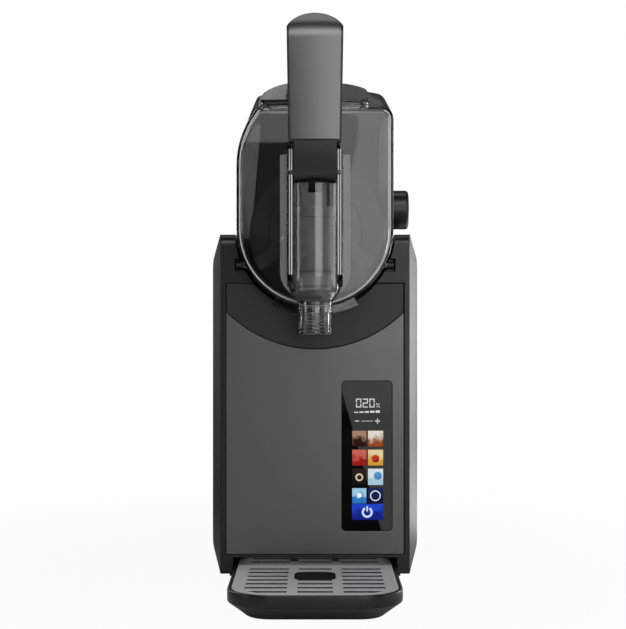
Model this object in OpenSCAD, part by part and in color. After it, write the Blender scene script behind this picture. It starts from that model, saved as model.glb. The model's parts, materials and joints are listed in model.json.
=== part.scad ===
// Slush machine: a home frozen-drink maker with a clear freezing vessel, a pull tap and a drip tray.
// Millimetres, up is +Z, the front faces -Y, and the origin is at the bottom centre of the whole.

/* [Body] */
// Width of the front frame
body_w = 158; // [154:1:190]
// Depth of the body behind its front face
body_d = 300; // [296:1:340]
// Height of the lower body without its feet
body_h = 284; // [270:1:320]
// Height of the feet, and of the body's underside
foot_h = 15; // [13:0.5:18]
// Wall of the moulded shells
shell_t = 3; // [2:0.1:4]
// How far each side cover stands out beyond the front frame
cover_bulge = 8; // [5:0.5:14]
// Width of the bevel round each side cover
cover_bevel = 20; // [10:1:30]
// Depth of the front frame
frame_d = 12; // [10:0.5:16]
// Depth of the frame's backing web
web_d = 6; // [4:0.5:8]
// Width of the frame's posts beside the front panel
post_w = 4.4; // [3:0.1:8]
// Height of the sill below the front panel
sill_h = 16; // [14:0.5:24]
// Rounding along the fronts of the shoulder tops
shoulder_r = 10; // [4:0.5:10]
// Thickness of the rear cover
rear_t = 4; // [3:0.5:6]
// How far below the shoulder tops the front panels begin
shoulder_h = 41; // [36:0.5:46]
// Height of the bib panel at its middle, below the shoulder line
bib_mid = 55; // [50:0.5:60]
// Height of the bib panel at its sides
bib_side = 23.5; // [18:0.5:30]

/* [Display] */
// Width of the display glass
glass_w = 41.8; // [36:0.2:48]
// Height of the display glass
glass_h = 125; // [110:1:135]
// Gap between the display and the front panel's right edge
glass_side = 10.3; // [6:0.1:20]
// Height of the display's middle above the sill
glass_up = 82.4; // [76:0.2:90]
// Corner radius of the display glass
glass_r = 3.5; // [2:0.5:6]
// Thickness of the display glass
glass_t = 2.5; // [2:0.1:3]

/* [Vessel] */
// Radius of the vessel's round bottom at its front
vessel_r = 64; // [61:0.5:65]
// Length of the vessel from its front face to its rear rim
vessel_l = 141; // [136:1:150]
// How far the vessel's front face stands out before the body
vessel_out = 30; // [26:0.5:34]
// Height of the vessel's axis above the shoulder tops
axis_up = 2; // [0:0.5:6]
// Height of the vessel's front top edge above its axis
front_rise = 99; // [94:0.5:104]
// Height of the vessel's rear crown above its axis
rear_rise = 142.2; // [137:0.1:146]
// Growth of the vessel's half-width from front to rear
vessel_draft = 1.5; // [0.5:0.1:2]
// Wall of the vessel
vessel_t = 3.2; // [2.4:0.1:4]
// Rounding round the vessel's front face
face_r = 3; // [2:0.2:4]
// Radius of the vessel's upper right front corner
right_r = 9; // [7:0.5:16]
// Radius of the bow that takes the vessel's left side over to its front top edge
bow_r = 74; // [68:1:80]
// Thickness of the vessel's rear gasket
gasket_t = 3; // [2:0.2:4]
// Half-width of the fill neck
neck_w = 45.5; // [43:0.5:47]
// Wall of the fill neck
neck_t = 3; // [2.4:0.1:4]
// Thickness of the fill lid
lid_t = 2.2; // [2:0.1:3]

/* [Tap] */
// Outer radius of the clear tap column
tap_r = 21; // [19:0.5:22]
// Radius of the plunger's bore
tap_bore = 17; // [15.5:0.1:17.5]
// Distance from the vessel's face to the tap's axis
tap_out = 19; // [18.5:0.1:21]
// Height of the tap rails' tops above the vessel's axis
rail_up = 63; // [60:0.5:68]
// Height of the front wall's top above the vessel's axis
open_up = 33; // [30:0.5:36]
// Depth below the vessel's axis where the column starts to narrow
narrow_down = 39; // [36:0.5:42]
// Height of the narrowing part
narrow_h = 22; // [20:0.5:24]
// Outer radius of the spout
spout_r = 14; // [13:0.2:15]
// Length of the removable nozzle
nozzle_l = 17.2; // [14:0.2:20]
// Radius of the lever's hub
hub_r = 7.5; // [7:0.1:8]
// Radius of the lever's pivot pin
pivot_r = 3; // [2.5:0.1:3.2]
// Reach of the crank from the pivot
crank = 14; // [13:0.1:14.5]
// Largest pull of the lever, degrees
pull_deg = 60; // [40:1:60]
// Width of the lever at its foot
lever_w0 = 41.5; // [38:0.5:46]
// Width of the lever at its crown
lever_w1 = 44.5; // [40:0.5:48]
// Thickness of the lever
lever_t = 10; // [8:0.5:11]
// Height of the lever's straight part above the pivot
lever_h = 104; // [96:0.5:112]
// Lean of the lever's crown, degrees
crown_deg = 50; // [30:1:60]
// Thickness of the lever's metal cover
plate_t = 2.5; // [2:0.1:3]

/* [Freezer] */
// Radius of the evaporator drum
drum_r = 38; // [37:0.5:40]
// Length of the evaporator drum
drum_l = 117; // [108:1:120]
// Radius of the drive shaft
shaft_r = 5; // [4:0.1:6]
// Thickness of the auger's blade
blade_t = 4; // [3:0.2:5]
// Turns of the auger's blade
blade_turns = 2.25; // [1.5:0.25:3]
// Radius of the compressor's can
can_r = 50; // [46:1:52]
// Height of the compressor's can
can_h = 138; // [120:1:142]
// Size of the square fan
fan_size = 120; // [110:2:124]
// Depth of the condenser
condenser_d = 35; // [30:1:38]

/* [Lock] */
// Radius of the lock knob
knob_r = 18; // [15:0.5:20]
// Length of the lock knob
knob_l = 20.5; // [18:0.5:21]
// Height of the lock's axis above the vessel's axis
lock_up = 29; // [27:0.5:34]

/* [Drip tray] */
// How far the tray stands out before the body
tray_out = 122; // [110:1:130]
// How far the tray reaches in under the body
tray_in = 48; // [40:1:52]
// How far the tray's sides stay inside the frame's
tray_side = 11.5; // [10.5:0.1:14]
// Height of the tray's rim
tray_h = 21.5; // [19:0.5:22]
// Lift of the tray's underside above the table
tray_lift = 0.5; // [0.3:0.1:1]
// Height of the bevel round the tray's foot
tray_bevel = 11.5; // [8:0.5:13]
// Inset of the tray's foot
tray_foot = 15; // [10:1:20]
// Width of the tray's rim
rim_w = 3; // [2.6:0.1:5]
// Pitch of the grille's slots
slot_pitch = 15.6; // [14:0.2:18]
// Width of a grille slot
slot_w = 6; // [5:0.2:8]

/* [Hidden] */
// Which piece is drawn
$fn = 64;

// Gap between pieces that move past one another
slide_gap = 0.3;
// Gap round a trim piece set into its frame
seam = 0.4;
// Running clearance of a pin in its bore
run_gap = 0.05;
// Overlap of shapes joined in one piece
bite = 0.5;
// Overrun of a cut
over = 1;

// Planes of the body
y_nose = -(tray_out + body_d) / 2;
y_f = y_nose + tray_out;
y_b = y_f + body_d;
y_in = y_f + frame_d;
y_web = y_in - web_d;
y_rc = y_b - rear_t;
z_u = foot_h;
z_s = foot_h + body_h;
hw = body_w / 2;
z_sill = z_u + sill_h;
z_bib = z_s - shoulder_h;

// Planes of the vessel
axis_z = z_s + axis_up;
y_v = y_f - vessel_out;
y_r = y_v + vessel_l;
y_p = y_r + gasket_t;
rear_half = vessel_r + vessel_draft;
cradle_gap = 1.3;
cradle_r = rear_half + cradle_gap;
z_ft = axis_z + front_rise;
z_rt = axis_z + rear_rise;
slope = atan((rear_rise - front_rise) / vessel_l);
neck_s = 14;
neck_l = vessel_l - 23;
neck_r = 10;
neck_rear_r = 38;
lid_n = 2;
skirt_h = 2;
hinge_s = neck_s + neck_l + 4;
hinge_n = 5;
hinge_half = 22;
pin_r = 2;
ear_t = 6;
ear_gap = 0.5;
knuckle_r = 4;
tab_half = 14;
bow_drop = 47;
corner_r = 6;
corner_in = 20;
crown_half = 15;
crown_r = 30;
crown_drop = 7.2;
rear_right_r = 10.5;
step_in = 11.1;
step_drop = 9.2;
step_r = 6;

// Arc between the bib and the front panel
bib_half = hw - post_w;
glass_x = bib_half - glass_side - glass_w / 2;
bib_sag = bib_mid - bib_side;
bib_arc = (bib_half * bib_half + bib_sag * bib_sag) / (2 * bib_sag);
bib_arc_z = z_bib - bib_mid + bib_arc;

// Lugs on the vessel's sides, and the lip under its front
lug_r = 3;
lug_boss_r = 4.2;
lug_down = 28.2;
lug_z = axis_z - lug_down;
lug_y = y_f + 4.5;
lug_x = sqrt(vessel_r * vessel_r - lug_down * lug_down);
lip_r = vessel_r + 8;
lip_t = 4;
lip_half = 30.5;

// Tap
y_t = y_v - tap_out;
z_open = axis_z + open_up;
z_rail = axis_z + rail_up;
z_narrow = axis_z - narrow_down;
z_stub = z_narrow - narrow_h;
z_tip = z_stub - 7.5;
z_nozzle = z_tip - nozzle_l;
narrow_in = tap_r - spout_r;
narrow_arc = (narrow_h * narrow_h + narrow_in * narrow_in) / (2 * narrow_in);
stub_bore = spout_r - 1.4;
nozzle_bore = spout_r - 3.5;
z_seat = z_narrow - 12;
port_w = 15;
z_port0 = z_seat + 1;
z_port1 = z_seat + 16;
rail_front = 19;
pad_t = 4;
head_gap = 0.25;
head_r = tap_bore - head_gap;
z_head = z_seat + 0.6;
head_h = 17.5;
tube_r = tap_bore - 2.5;
z_disc = z_head + head_h + 40;
disc_h = 8;
seal_gap = 0.1;
seal_d = 1.8;
seal_h = 2;

// Lever
pivot_y = y_t - 13;
pivot_z = z_open + hub_r + 1;
hub_half = tap_bore - slide_gap;
lever_face = 12;
bend_r = 18;
crown_l = 21;
crank_r = 2.5;
crank_a = -pull_deg / 2;
crank_y = pivot_y + crank * cos(crank_a);
crank_z = pivot_z + crank * sin(crank_a);
arm_half = 5;
fork_gap = 0.5;
fork_t = 4;
fork_room = 7.6;
fork_y0 = pivot_y + hub_r + 1;
fork_y1 = fork_y0 + 10.5;
fork_top = crank_z + 5.5;
edge_w = 1.6;
wide_up = 23.2;
cover_up = 25;
z_crown = pivot_z + lever_h + 10;
crown_arc = 24.5;
coil_r = 4.9;
coil_wire = 1;
coil_pitch = 1.6;
coil_turns = 4;
coil_x0 = 8;
notch_r = 6.4;

// Freezer
auger_gap = 3;
blade_out = vessel_r - vessel_t - auger_gap;
blade_in = drum_r + 0.9;
plate_d = 4;
y_g = y_p + plate_d;
y_drum = y_p - drum_l;
drum_t = 1.4;
y_hub = y_drum - 10;
hub_l = 10;
ring_w = 5;
// How far the auger's ring and arms stay inside the blade's edges
rim_in = 1.2;
gear_m = 1.25;
gear_n = 36;
pinion_n = 12;
gear_r = gear_m * gear_n / 2;
pinion_r = gear_m * pinion_n / 2;
gear_gap = 0.1;
gear_c = gear_r + pinion_r + gear_gap;
gear_w = 10;
case_t = 3;
case_r = gear_r + 6;
case_d = gear_w + 10;
motor_neck_r = pinion_r + 6;
y_c0 = y_g + case_d;
y_gear = y_g + case_t + 2;
press_deg = 25;
line_r = 3;
line_in = 32.5;
line_x = 18;
bush_r = 9;
motor_r = 27;
motor_l = 62;

// Cooling pieces on the base pan
pan_t = 3;
z_pan = z_u + pan_t;
fan_d = 25;
post_d = 12;
post_w0 = 12;
post_side = 8;
post_h = 16;
screw_up = 8;
y_cond = y_rc - 2 - post_d - condenser_d;
y_fan = y_cond - fan_d;
y_can = y_fan - 6 - can_r;
mount_h = 8;
can_wall = 4;
can_top = 34;
z_can = z_pan + mount_h + 3;
screw_x = hw - post_side - post_w0 / 2;
mount_r = 7;
z_fan = z_pan + fan_size / 2;
fan_hole = fan_size / 2 - 3;
fan_hub = 19;
louvre_n = 12;
louvre_h = fan_size / (2 * louvre_n + 3);
fin_n = 11;
fin_gap = fan_size / (2 * fin_n + 1.2);
gland_z = z_pan + fan_size + 40;
board_side = 17;
board_off = 6;
board_up = 40;
board_w = 70;
board_h = 110;
board_t = 2;
board_edge = 6;

// Lock
lock_y = y_p + 13;
lock_z = axis_z + lock_up;
lock_r = 5;
cam_r = 6;
cam_off = 2;
cam_w = 5;
tongue_t = 6.5;
tongue_top = lock_z - cam_r - cam_off - slide_gap;
tongue_in = 3.6;

// Tray
tray_half = hw - tray_side;
tray_rear = y_f + tray_in;
front_corner = 34;
rear_corner = 22;
dock_gap = 1;
dock_t = 3.6;
runner = 1.2;
runner_z = foot_h + 0.5;
runner_h = 2;
grille_t = 2.5;
z_shelf = tray_h - grille_t;
grille_rear = y_f - 3;
shelf_w = 3.6;
floor_t = 3;
z_floor = tray_lift + floor_t;
float_w = 32;
float_d = 36;
float_y = y_f - 43;
float_gap = 0.5;
slot_in = 21.5;
slot_out = 54;
slot_mid = 13.5;
dock_roof = 2;
z_dock = z_sill - 2.5;

// Shapes shared by the pieces

module box(x0, x1, y0, y1, z0, z1) {
  translate([x0, y0, z0]) cube([x1 - x0, y1 - y0, z1 - z0]);
}

// A flat outline in X and Z, drawn out along Y
module along_y(y0, y1) {
  translate([0, y1, 0]) rotate([90, 0, 0]) linear_extrude(y1 - y0) children();
}

// A flat outline in Y and Z, drawn out along X
module along_x(x0, x1) {
  translate([x0, 0, 0]) rotate([90, 0, 90]) linear_extrude(x1 - x0) children();
}

module rod_y(r, y0, y1, x = 0, z = 0) {
  translate([x, y0, z]) rotate([-90, 0, 0]) cylinder(r = r, h = y1 - y0);
}

module rod_x(r, x0, x1, y = 0, z = 0) {
  translate([x0, y, z]) rotate([0, 90, 0]) cylinder(r = r, h = x1 - x0);
}

module rod_z(r, z0, z1, x = 0, y = 0) {
  translate([x, y, z0]) cylinder(r = r, h = z1 - z0);
}

module ring_y(ro, ri, y0, y1, x = 0, z = 0) {
  difference() {
    rod_y(ro, y0, y1, x, z);
    rod_y(ri, y0 - over, y1 + over, x, z);
  }
}

module round_rect(w, h, r) {
  square([w - 2 * r, h], center = true);
  square([w, h - 2 * r], center = true);
  for (sx = [-1, 1], sy = [-1, 1])
    translate([sx * (w / 2 - r), sy * (h / 2 - r)]) circle(r = r);
}

module both_sides() {
  children();
  mirror([1, 0, 0]) children();
}

// A round tube through the points, with a ball at each bend
module pipe(pts, r) {
  for (i = [0 : len(pts) - 2]) {
    d = pts[i + 1] - pts[i];
    l = norm(d);
    translate(pts[i]) rotate([0, acos(d[2] / l), atan2(d[1], d[0])]) cylinder(r = r, h = l, $fn = 24);
    if (i > 0) translate(pts[i]) sphere(r = r + 0.06, $fn = 24);
  }
}

// The circles whose hull is the vessel's outline, at its front face or its rear rim
module front_discs(inset) {
  translate([0, axis_z]) circle(r = vessel_r - inset);
  translate([vessel_r - right_r, z_ft - right_r]) circle(r = right_r - inset);
  translate([corner_in - vessel_r, z_ft - corner_r]) circle(r = corner_r - inset);
  for (a = [0 : 10 : 30])
    translate([bow_r - vessel_r - (bow_r - corner_r) * cos(a), z_ft - bow_drop + (bow_r - corner_r) * sin(a)])
      circle(r = corner_r - inset);
}

module rear_discs(inset) {
  translate([0, axis_z]) circle(r = rear_half - inset);
  for (sx = [-1, 1]) translate([sx * crown_half, z_rt - crown_r]) circle(r = crown_r - inset);
  translate([rear_half - rear_right_r, z_rt - crown_drop - rear_right_r]) circle(r = rear_right_r - inset);
  translate([step_in + step_r - rear_half, z_rt - step_drop - step_r]) circle(r = step_r - inset);
}

// The fill mouth on the sloping top, its rear corners wide so that the lid stays below the crown's line
module mouth(inset) {
  hull() for (sx = [-1, 1]) {
    translate([sx * (neck_w - neck_r), neck_s + neck_r]) circle(r = neck_r - inset);
    translate([sx * (neck_w - neck_rear_r), neck_s + neck_l - neck_rear_r]) circle(r = neck_rear_r - inset);
  }
}

module rear_outline(inset) {
  hull() rear_discs(inset);
}

// The frame of the vessel's sloping top: Y runs up the slope, Z out of it
module on_slope() {
  translate([0, y_v, z_ft]) rotate([slope, 0, 0]) children();
}

// Outer body

module base_pan() {
  color("#1b1b1d") difference() {
    union() {
      box(-hw, hw, y_in, y_rc, z_u, z_pan);
      both_sides()
        box(hw - post_side - post_w0, hw - post_side, y_rc - post_d, y_rc, z_pan - bite, z_pan + post_h);
    }
    box(-tray_half - dock_gap - dock_t, tray_half + dock_gap + dock_t, y_in - over,
        tray_rear + dock_gap + dock_t, z_u - over, z_pan + over);
    both_sides() rod_y(1.5, y_rc - post_d + 2, y_rc + over, screw_x, z_pan + screw_up);
  }
}

module feet() {
  color("#141414") for (sx = [-1, 1], fy = [tray_rear + 24, y_rc - 30])
    rod_z(12, 0, z_u, sx * (hw - 21), fy);
}

// The black frame with its two shoulders, and the web behind the panels
module front_frame() {
  color("#202123") difference() {
    along_y(y_f, y_in) difference() {
      translate([-hw, z_u]) square([body_w, body_h]);
      translate([0, axis_z]) circle(r = cradle_r);
    }
    box(-bib_half, bib_half, y_f - over, y_web, z_sill, z_bib);
    box(-tray_half - dock_gap, tray_half + dock_gap, y_f - over, y_in + over, z_u - over, z_dock);
    both_sides() box(tray_half, tray_half + runner + slide_gap, y_f - over, y_in + over,
                     z_u - over, runner_z + runner_h + slide_gap);
    box(glass_x - 14, glass_x + 14, y_web - over, y_in + over, z_sill + glass_up - 8, z_sill + glass_up + 8);
    both_sides() box(lug_x - 3, lug_x + 9.5, y_f - over, lug_y + lug_boss_r + 1,
                     lug_z - lug_boss_r - 1, lug_z + lug_boss_r + 1);
    difference() {
      box(-hw - over, hw + over, y_f - over, y_f + shoulder_r, z_s - shoulder_r, z_s + over);
      rod_x(shoulder_r, -hw - over, hw + over, y_f + shoulder_r, z_s - shoulder_r);
    }
  }
}

module front_panel() {
  color("#5b5d60") difference() {
    along_y(y_f + seam, y_web) difference() {
      translate([-bib_half + seam, z_sill + seam])
        square([2 * (bib_half - seam), z_bib - bib_side - z_sill - 2 * seam]);
      translate([0, bib_arc_z]) circle(r = bib_arc + seam, $fn = 160);
      translate([glass_x, z_sill + glass_up])
        round_rect(glass_w + 2 * slide_gap, glass_h + 2 * slide_gap, glass_r + slide_gap);
    }
  }
}

module bib_panel() {
  color("#303134") along_y(y_f + seam, y_web) difference() {
    intersection() {
      translate([-bib_half + seam, z_bib - bib_mid - over])
        square([2 * (bib_half - seam), bib_mid + over - seam]);
      translate([0, bib_arc_z]) circle(r = bib_arc, $fn = 160);
    }
    translate([0, axis_z]) circle(r = cradle_r);
  }
}

module display_glass() {
  color("#0b0d10") along_y(y_f + seam / 2, y_f + seam / 2 + glass_t)
    translate([glass_x, z_sill + glass_up]) round_rect(glass_w, glass_h, glass_r);
}

module display_board() {
  color("#1f4a32") {
    along_y(y_f + seam / 2 + glass_t, y_web) translate([glass_x, z_sill + glass_up])
      round_rect(glass_w - 2, glass_h - 2, 2);
    box(glass_x - 10, glass_x + 10, y_web - bite, y_in + 3, z_sill + glass_up - 5, z_sill + glass_up + 5);
  }
}

// One bevelled side shell, with louvre slots towards its rear
module side_cover() {
  difference() {
    hull() {
      box(hw, hw + 0.02, y_f, y_rc, z_u, z_s);
      box(hw + cover_bulge - 0.02, hw + cover_bulge, y_f + cover_bevel, y_rc - cover_bevel,
          z_u + cover_bevel, z_s - cover_bevel);
    }
    hull() {
      box(hw - over, hw - over + 0.02, y_f + shell_t, y_rc - shell_t, z_u + shell_t, z_s - shell_t);
      box(hw + cover_bulge - shell_t - 0.02, hw + cover_bulge - shell_t, y_f + cover_bevel + shell_t,
          y_rc - cover_bevel - shell_t, z_u + cover_bevel + shell_t, z_s - cover_bevel - shell_t);
    }
    for (i = [0 : 8])
      box(hw, hw + cover_bulge + over, y_can - 10 + 12 * i, y_can - 5 + 12 * i, z_u + 50, z_u + 150);
  }
}

module side_cover_left() {
  color("#3a3c3f") mirror([1, 0, 0]) side_cover();
}

module side_cover_right() {
  color("#3a3c3f") side_cover();
}

module rear_cover() {
  color("#1e1f21") difference() {
    along_y(y_rc, y_b) translate([-hw, z_u]) square([body_w, body_h]);
    for (i = [0 : louvre_n - 1]) let (z = z_pan + 2 * louvre_h * (i + 1.4))
      box(-fan_size / 2 + 6, fan_size / 2 - 6, y_rc - over, y_b + over, z, z + louvre_h);
    both_sides() for (z = [z_pan + screw_up, z_s - 10]) {
      rod_y(1.7, y_rc - over, y_b + over, screw_x, z);
      rod_y(3.4, y_b - 2, y_b + over, screw_x, z);
    }
    rod_y(9.1, y_rc - over, y_b + over, -hw + 30, gland_z);
  }
}

// The back of the upper housing, standing on the rear cover's top edge
module upper_back() {
  color("#1e1f21") along_y(y_rc, y_b) difference() {
    rear_outline(0);
    translate([-hw, z_u]) square([body_w, body_h]);
  }
}

module rear_screws() {
  color("#8f9398") both_sides() for (z = [z_pan + screw_up, z_s - 10]) {
    rod_y(3.2, y_b - 2, y_b - 0.2, screw_x, z);
    rod_y(1.45, y_rc - post_d + 3, y_b - 2 + 0.1, screw_x, z);
  }
}

// The trough under the vessel, and the decks either side of it that carry the upper housing
module cradle() {
  color("#1c1d1f") difference() {
    union() {
      along_y(y_in, y_g + 5) intersection() {
        translate([0, axis_z]) circle(r = cradle_r + shell_t);
        translate([-hw, z_s - 100]) square([body_w, 100]);
      }
      both_sides() {
        box(cradle_r, hw, y_in, y_g + 5, z_s - shell_t, z_s);
        box(rear_half - 8, hw, y_g + 4, y_rc, z_s - shell_t, z_s);
        box(hw - post_side - post_w0, hw - post_side, y_rc - post_d, y_rc, z_s - 18, z_s - shell_t + bite);
      }
    }
    rod_y(cradle_r, y_in - over, y_g + 4, 0, axis_z);
    rod_y(rear_half - 9, y_g, y_g + 6, 0, axis_z);
    both_sides() rod_y(1.5, y_rc - post_d + 2, y_rc + over, screw_x, z_s - 10);
  }
}

// The arch behind the vessel: a full ring round the evaporator plate, then an open-bottomed tunnel
module upper_housing() {
  color("#1d1e20") difference() {
    along_y(y_p, y_rc) difference() {
      rear_outline(0);
      rear_outline(shell_t);
    }
    box(-hw, hw, y_g + 3, y_rc + over, z_u, z_s);
    rod_x(lock_r + 0.12, rear_half - shell_t - over, rear_half + over, lock_y, lock_z);
  }
}

module cord_gland() {
  color("#121212") difference() {
    union() {
      rod_y(9, y_rc, y_b, -hw + 30, gland_z);
      rod_y(12, y_rc - 5, y_rc, -hw + 30, gland_z);
    }
    rod_y(4, y_rc - 6, y_b + over, -hw + 30, gland_z);
  }
}

// The recess under the body that the tray slides into, with a groove for its runners
module tray_dock() {
  color("#151516") difference() {
    box(-tray_half - dock_gap - dock_t, tray_half + dock_gap + dock_t, y_in, tray_rear + dock_gap + dock_t,
        z_u - 4, z_dock + dock_roof);
    box(-tray_half - dock_gap, tray_half + dock_gap, y_in - over, tray_rear + dock_gap, z_u - 5, z_dock);
    both_sides() box(tray_half, tray_half + runner + dock_gap + 0.5, y_in - over, tray_rear,
                     runner_z - slide_gap, runner_z + runner_h + slide_gap);
  }
}

// Freezer and drive

module evaporator_plate() {
  color("#c9ccd0") difference() {
    along_y(y_p, y_g) rear_outline(shell_t + 0.2);
    rod_y(bush_r, y_p - over, y_g + over, 0, axis_z);
    rod_y(line_r + 0.2, y_p - over, y_g + over, 0, axis_z - line_in);
    box(rear_half - shell_t - tongue_in - 2, rear_half + over, y_p - over, y_g + over,
        tongue_top - tongue_t - 1, tongue_top + 1);
  }
}

module evaporator_drum() {
  color("#d5d8dc") difference() {
    union() {
      rod_y(drum_r, y_drum, y_p, 0, axis_z);
      rod_y(drum_r + 8, y_p - 2, y_p, 0, axis_z);
    }
    rod_y(drum_r - drum_t, y_drum + 3, y_p + over, 0, axis_z);
    rod_y(shaft_r + 1, y_drum - over, y_drum + 4, 0, axis_z);
  }
}

module evaporator_coil() {
  color("#b87333") ring_y(drum_r - drum_t, drum_r - drum_t - 3.6, y_drum + 12, y_p - 10, 0, axis_z);
}

module shaft_bushing() {
  color("#e8e3d2") difference() {
    union() {
      rod_y(bush_r, y_p, y_g, 0, axis_z);
      rod_y(bush_r + 3, y_p - 3, y_p, 0, axis_z);
    }
    rod_y(shaft_r + run_gap, y_p - 4, y_g + over, 0, axis_z);
  }
}

module shaft_seal() {
  color("#3b3b3b") ring_y(shaft_r + 1, shaft_r + run_gap, y_drum, y_drum + 3, 0, axis_z);
}

module drive_shaft() {
  color("#cfd2d6") rod_y(shaft_r, y_hub, y_c0 - 1, 0, axis_z);
}

// The blade is one band wound round the drum; each ring of points is a slice of it
module auger() {
  y0 = y_drum - 4;
  y1 = y_p - 8;
  steps = round(30 * blade_turns);
  pts = [for (i = [0 : steps]) let (a = 360 * blade_turns * i / steps, y = y0 + (y1 - y0) * i / steps)
    for (c = [[blade_in, -0.5], [blade_out, -0.5], [blade_out, 0.5], [blade_in, 0.5]])
      [c[0] * sin(a), y + c[1] * blade_t, axis_z + c[0] * cos(a)]];
  sides = [for (i = [0 : steps - 1], j = [0 : 3]) let (a = 4 * i + j, b = 4 * i + (j + 1) % 4)
    each [[a, b, a + 4], [b, b + 4, a + 4]]];
  n = 4 * steps;
  color("#8d9298") {
    polyhedron(points = pts,
               faces = concat(sides, [[0, 2, 1], [0, 3, 2], [n, n + 1, n + 2], [n, n + 2, n + 3]]));
    difference() {
      union() {
        rod_y(14, y_hub, y_drum - 1, 0, axis_z);
        for (a = [0, 120, 240]) translate([0, 0, axis_z]) rotate([0, a, 0])
          box(-6, 6, y_drum - 7, y_drum - 1, 10, blade_out - rim_in);
      }
      rod_y(shaft_r, y_hub - over, y_drum, 0, axis_z);
    }
    ring_y(blade_out - rim_in, blade_in + rim_in, y1 - ring_w / 2, y1 + ring_w / 2, 0, axis_z);
  }
}

module case_outline(grow) {
  circle(r = case_r + grow);
  translate([0, gear_c]) circle(r = motor_neck_r + grow);
  translate([-motor_neck_r - grow, 0]) square([2 * (motor_neck_r + grow), gear_c]);
}

module gearbox_case() {
  color("#5d6166") difference() {
    along_y(y_g, y_c0) translate([0, axis_z]) case_outline(0);
    along_y(y_g + case_t, y_c0 + over) translate([0, axis_z]) case_outline(-case_t);
    rod_y(shaft_r + 0.3, y_g - over, y_g + case_t + over, 0, axis_z);
  }
}

module gearbox_cover() {
  color("#6b6f74") difference() {
    along_y(y_c0, y_c0 + case_t) translate([0, axis_z]) case_outline(0);
    rod_y(3 + 0.3, y_c0 - over, y_c0 + case_t + over, 0, axis_z + gear_c);
  }
}

// Half the angle of a tooth at radius r, for an involute flank
function inv(a) = tan(a) * 180 / PI - a;
function tooth_half(r, rp, n, thin) = let (rb = rp * cos(press_deg), q = max(r, rb))
  90 / n - thin / rp * 90 / PI + inv(press_deg) - inv(acos(min(1, rb / q)));

// Outline of a spur gear, its first tooth upwards, thinned by the backlash
module gear_outline(n, thin) {
  rp = gear_m * n / 2;
  root = rp - 1.2 * gear_m;
  tip = rp + 0.9 * gear_m;
  rs = [for (k = [0 : 5]) root + (tip - root) * k / 5];
  polygon([for (i = [0 : n - 1]) each concat(
    [for (r = rs) let (a = 360 * i / n - tooth_half(r, rp, n, thin)) [r * sin(a), r * cos(a)]],
    [for (k = [5 : -1 : 0]) let (r = rs[k], a = 360 * i / n + tooth_half(r, rp, n, thin))
      [r * sin(a), r * cos(a)]])]);
}

module drive_gear() {
  color("#d9d4c4") difference() {
    along_y(y_gear, y_gear + gear_w) translate([0, axis_z]) gear_outline(gear_n, 0.35);
    rod_y(shaft_r, y_gear - over, y_gear + gear_w + over, 0, axis_z);
  }
}

module motor_pinion() {
  color("#b9b4a2") {
    along_y(y_gear, y_gear + gear_w) translate([0, axis_z + gear_c]) rotate(180 / pinion_n)
      gear_outline(pinion_n, 0.35);
    rod_y(3, y_gear + gear_w - bite, y_c0 + case_t + 6, 0, axis_z + gear_c);
  }
}

module gear_motor() {
  color("#9a9da1") difference() {
    union() {
      rod_y(motor_r, y_c0 + case_t, y_c0 + case_t + motor_l, 0, axis_z + gear_c);
      rod_y(motor_r / 3, y_c0 + case_t + motor_l - 2, y_c0 + case_t + motor_l + 6, 0, axis_z + gear_c);
    }
    rod_y(3 + run_gap, y_c0 + case_t - over, y_c0 + case_t + 7, 0, axis_z + gear_c);
  }
}

// The can is open below, so that it weighs about what the real pump does
module compressor() {
  color("#17181a") difference() {
    union() {
      rod_z(can_r, z_can, z_can + can_h - 10, 0, y_can);
      translate([0, y_can, z_can + can_h - 10]) rotate_extrude() intersection() {
        translate([can_r - 10 - 10, -10]) circle(r = 30);
        square([can_r, 10]);
      }
      rod_z(can_r - 20, z_can + can_h - 10 - bite, z_can + can_h, 0, y_can);
      box(-can_r - 5, can_r + 5, y_can - 18, y_can + 18, z_can - 3, z_can);
    }
    rod_z(can_r - can_wall, z_can - 3 - over, z_can + can_h - can_top, 0, y_can);
  }
}

module compressor_mounts() {
  color("#2a2a2a") for (sx = [-1, 1], sy = [-1, 1])
    rod_z(mount_r, z_pan, z_pan + mount_h, sx * (can_r + 1 - mount_r), y_can + sy * (mount_r + 3));
}

module condenser() {
  color("#aeb2b6") difference() {
    box(-fan_size / 2, fan_size / 2, y_cond, y_cond + condenser_d, z_pan, z_pan + fan_size + 10);
    for (i = [0 : fin_n - 1])
      box(-fan_size / 2 + fin_gap * (2 * i + 1.1), -fan_size / 2 + fin_gap * (2 * i + 2.1), y_cond - over,
          y_cond + condenser_d + over,
          z_pan + 5, z_pan + fan_size + 5);
  }
}

module fan_frame() {
  color("#222326") {
    difference() {
      box(-fan_size / 2, fan_size / 2, y_fan, y_cond, z_pan, z_pan + fan_size);
      rod_y(fan_hole, y_fan - over, y_cond + over, 0, z_fan);
    }
    rod_y(fan_hub, y_cond - 5, y_cond, 0, z_fan);
    for (a = [30, 150, 270]) translate([0, 0, z_fan]) rotate([0, a, 0])
      box(-3, 3, y_cond - 4, y_cond - 1, fan_hub - 1, fan_hole + 1);
    rod_y(2, y_fan + 7, y_cond - 4, 0, z_fan);
  }
}

module fan_rotor() {
  y1 = y_cond - 6;
  color("#3b3d40") difference() {
    union() {
      rod_y(fan_hub, y_fan + 3, y1, 0, z_fan);
      for (i = [0 : 6])
        translate([0, (y_fan + 3 + y1) / 2, z_fan]) rotate([0, 360 / 7 * i, 0]) rotate([0, 0, 35])
        translate([-10, -0.9, fan_hub - 1.5]) cube([20, 1.8, fan_hole - fan_hub - 1]);
    }
    rod_y(2 + run_gap, y_fan + 6, y1 + over, 0, z_fan);
  }
}

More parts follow.
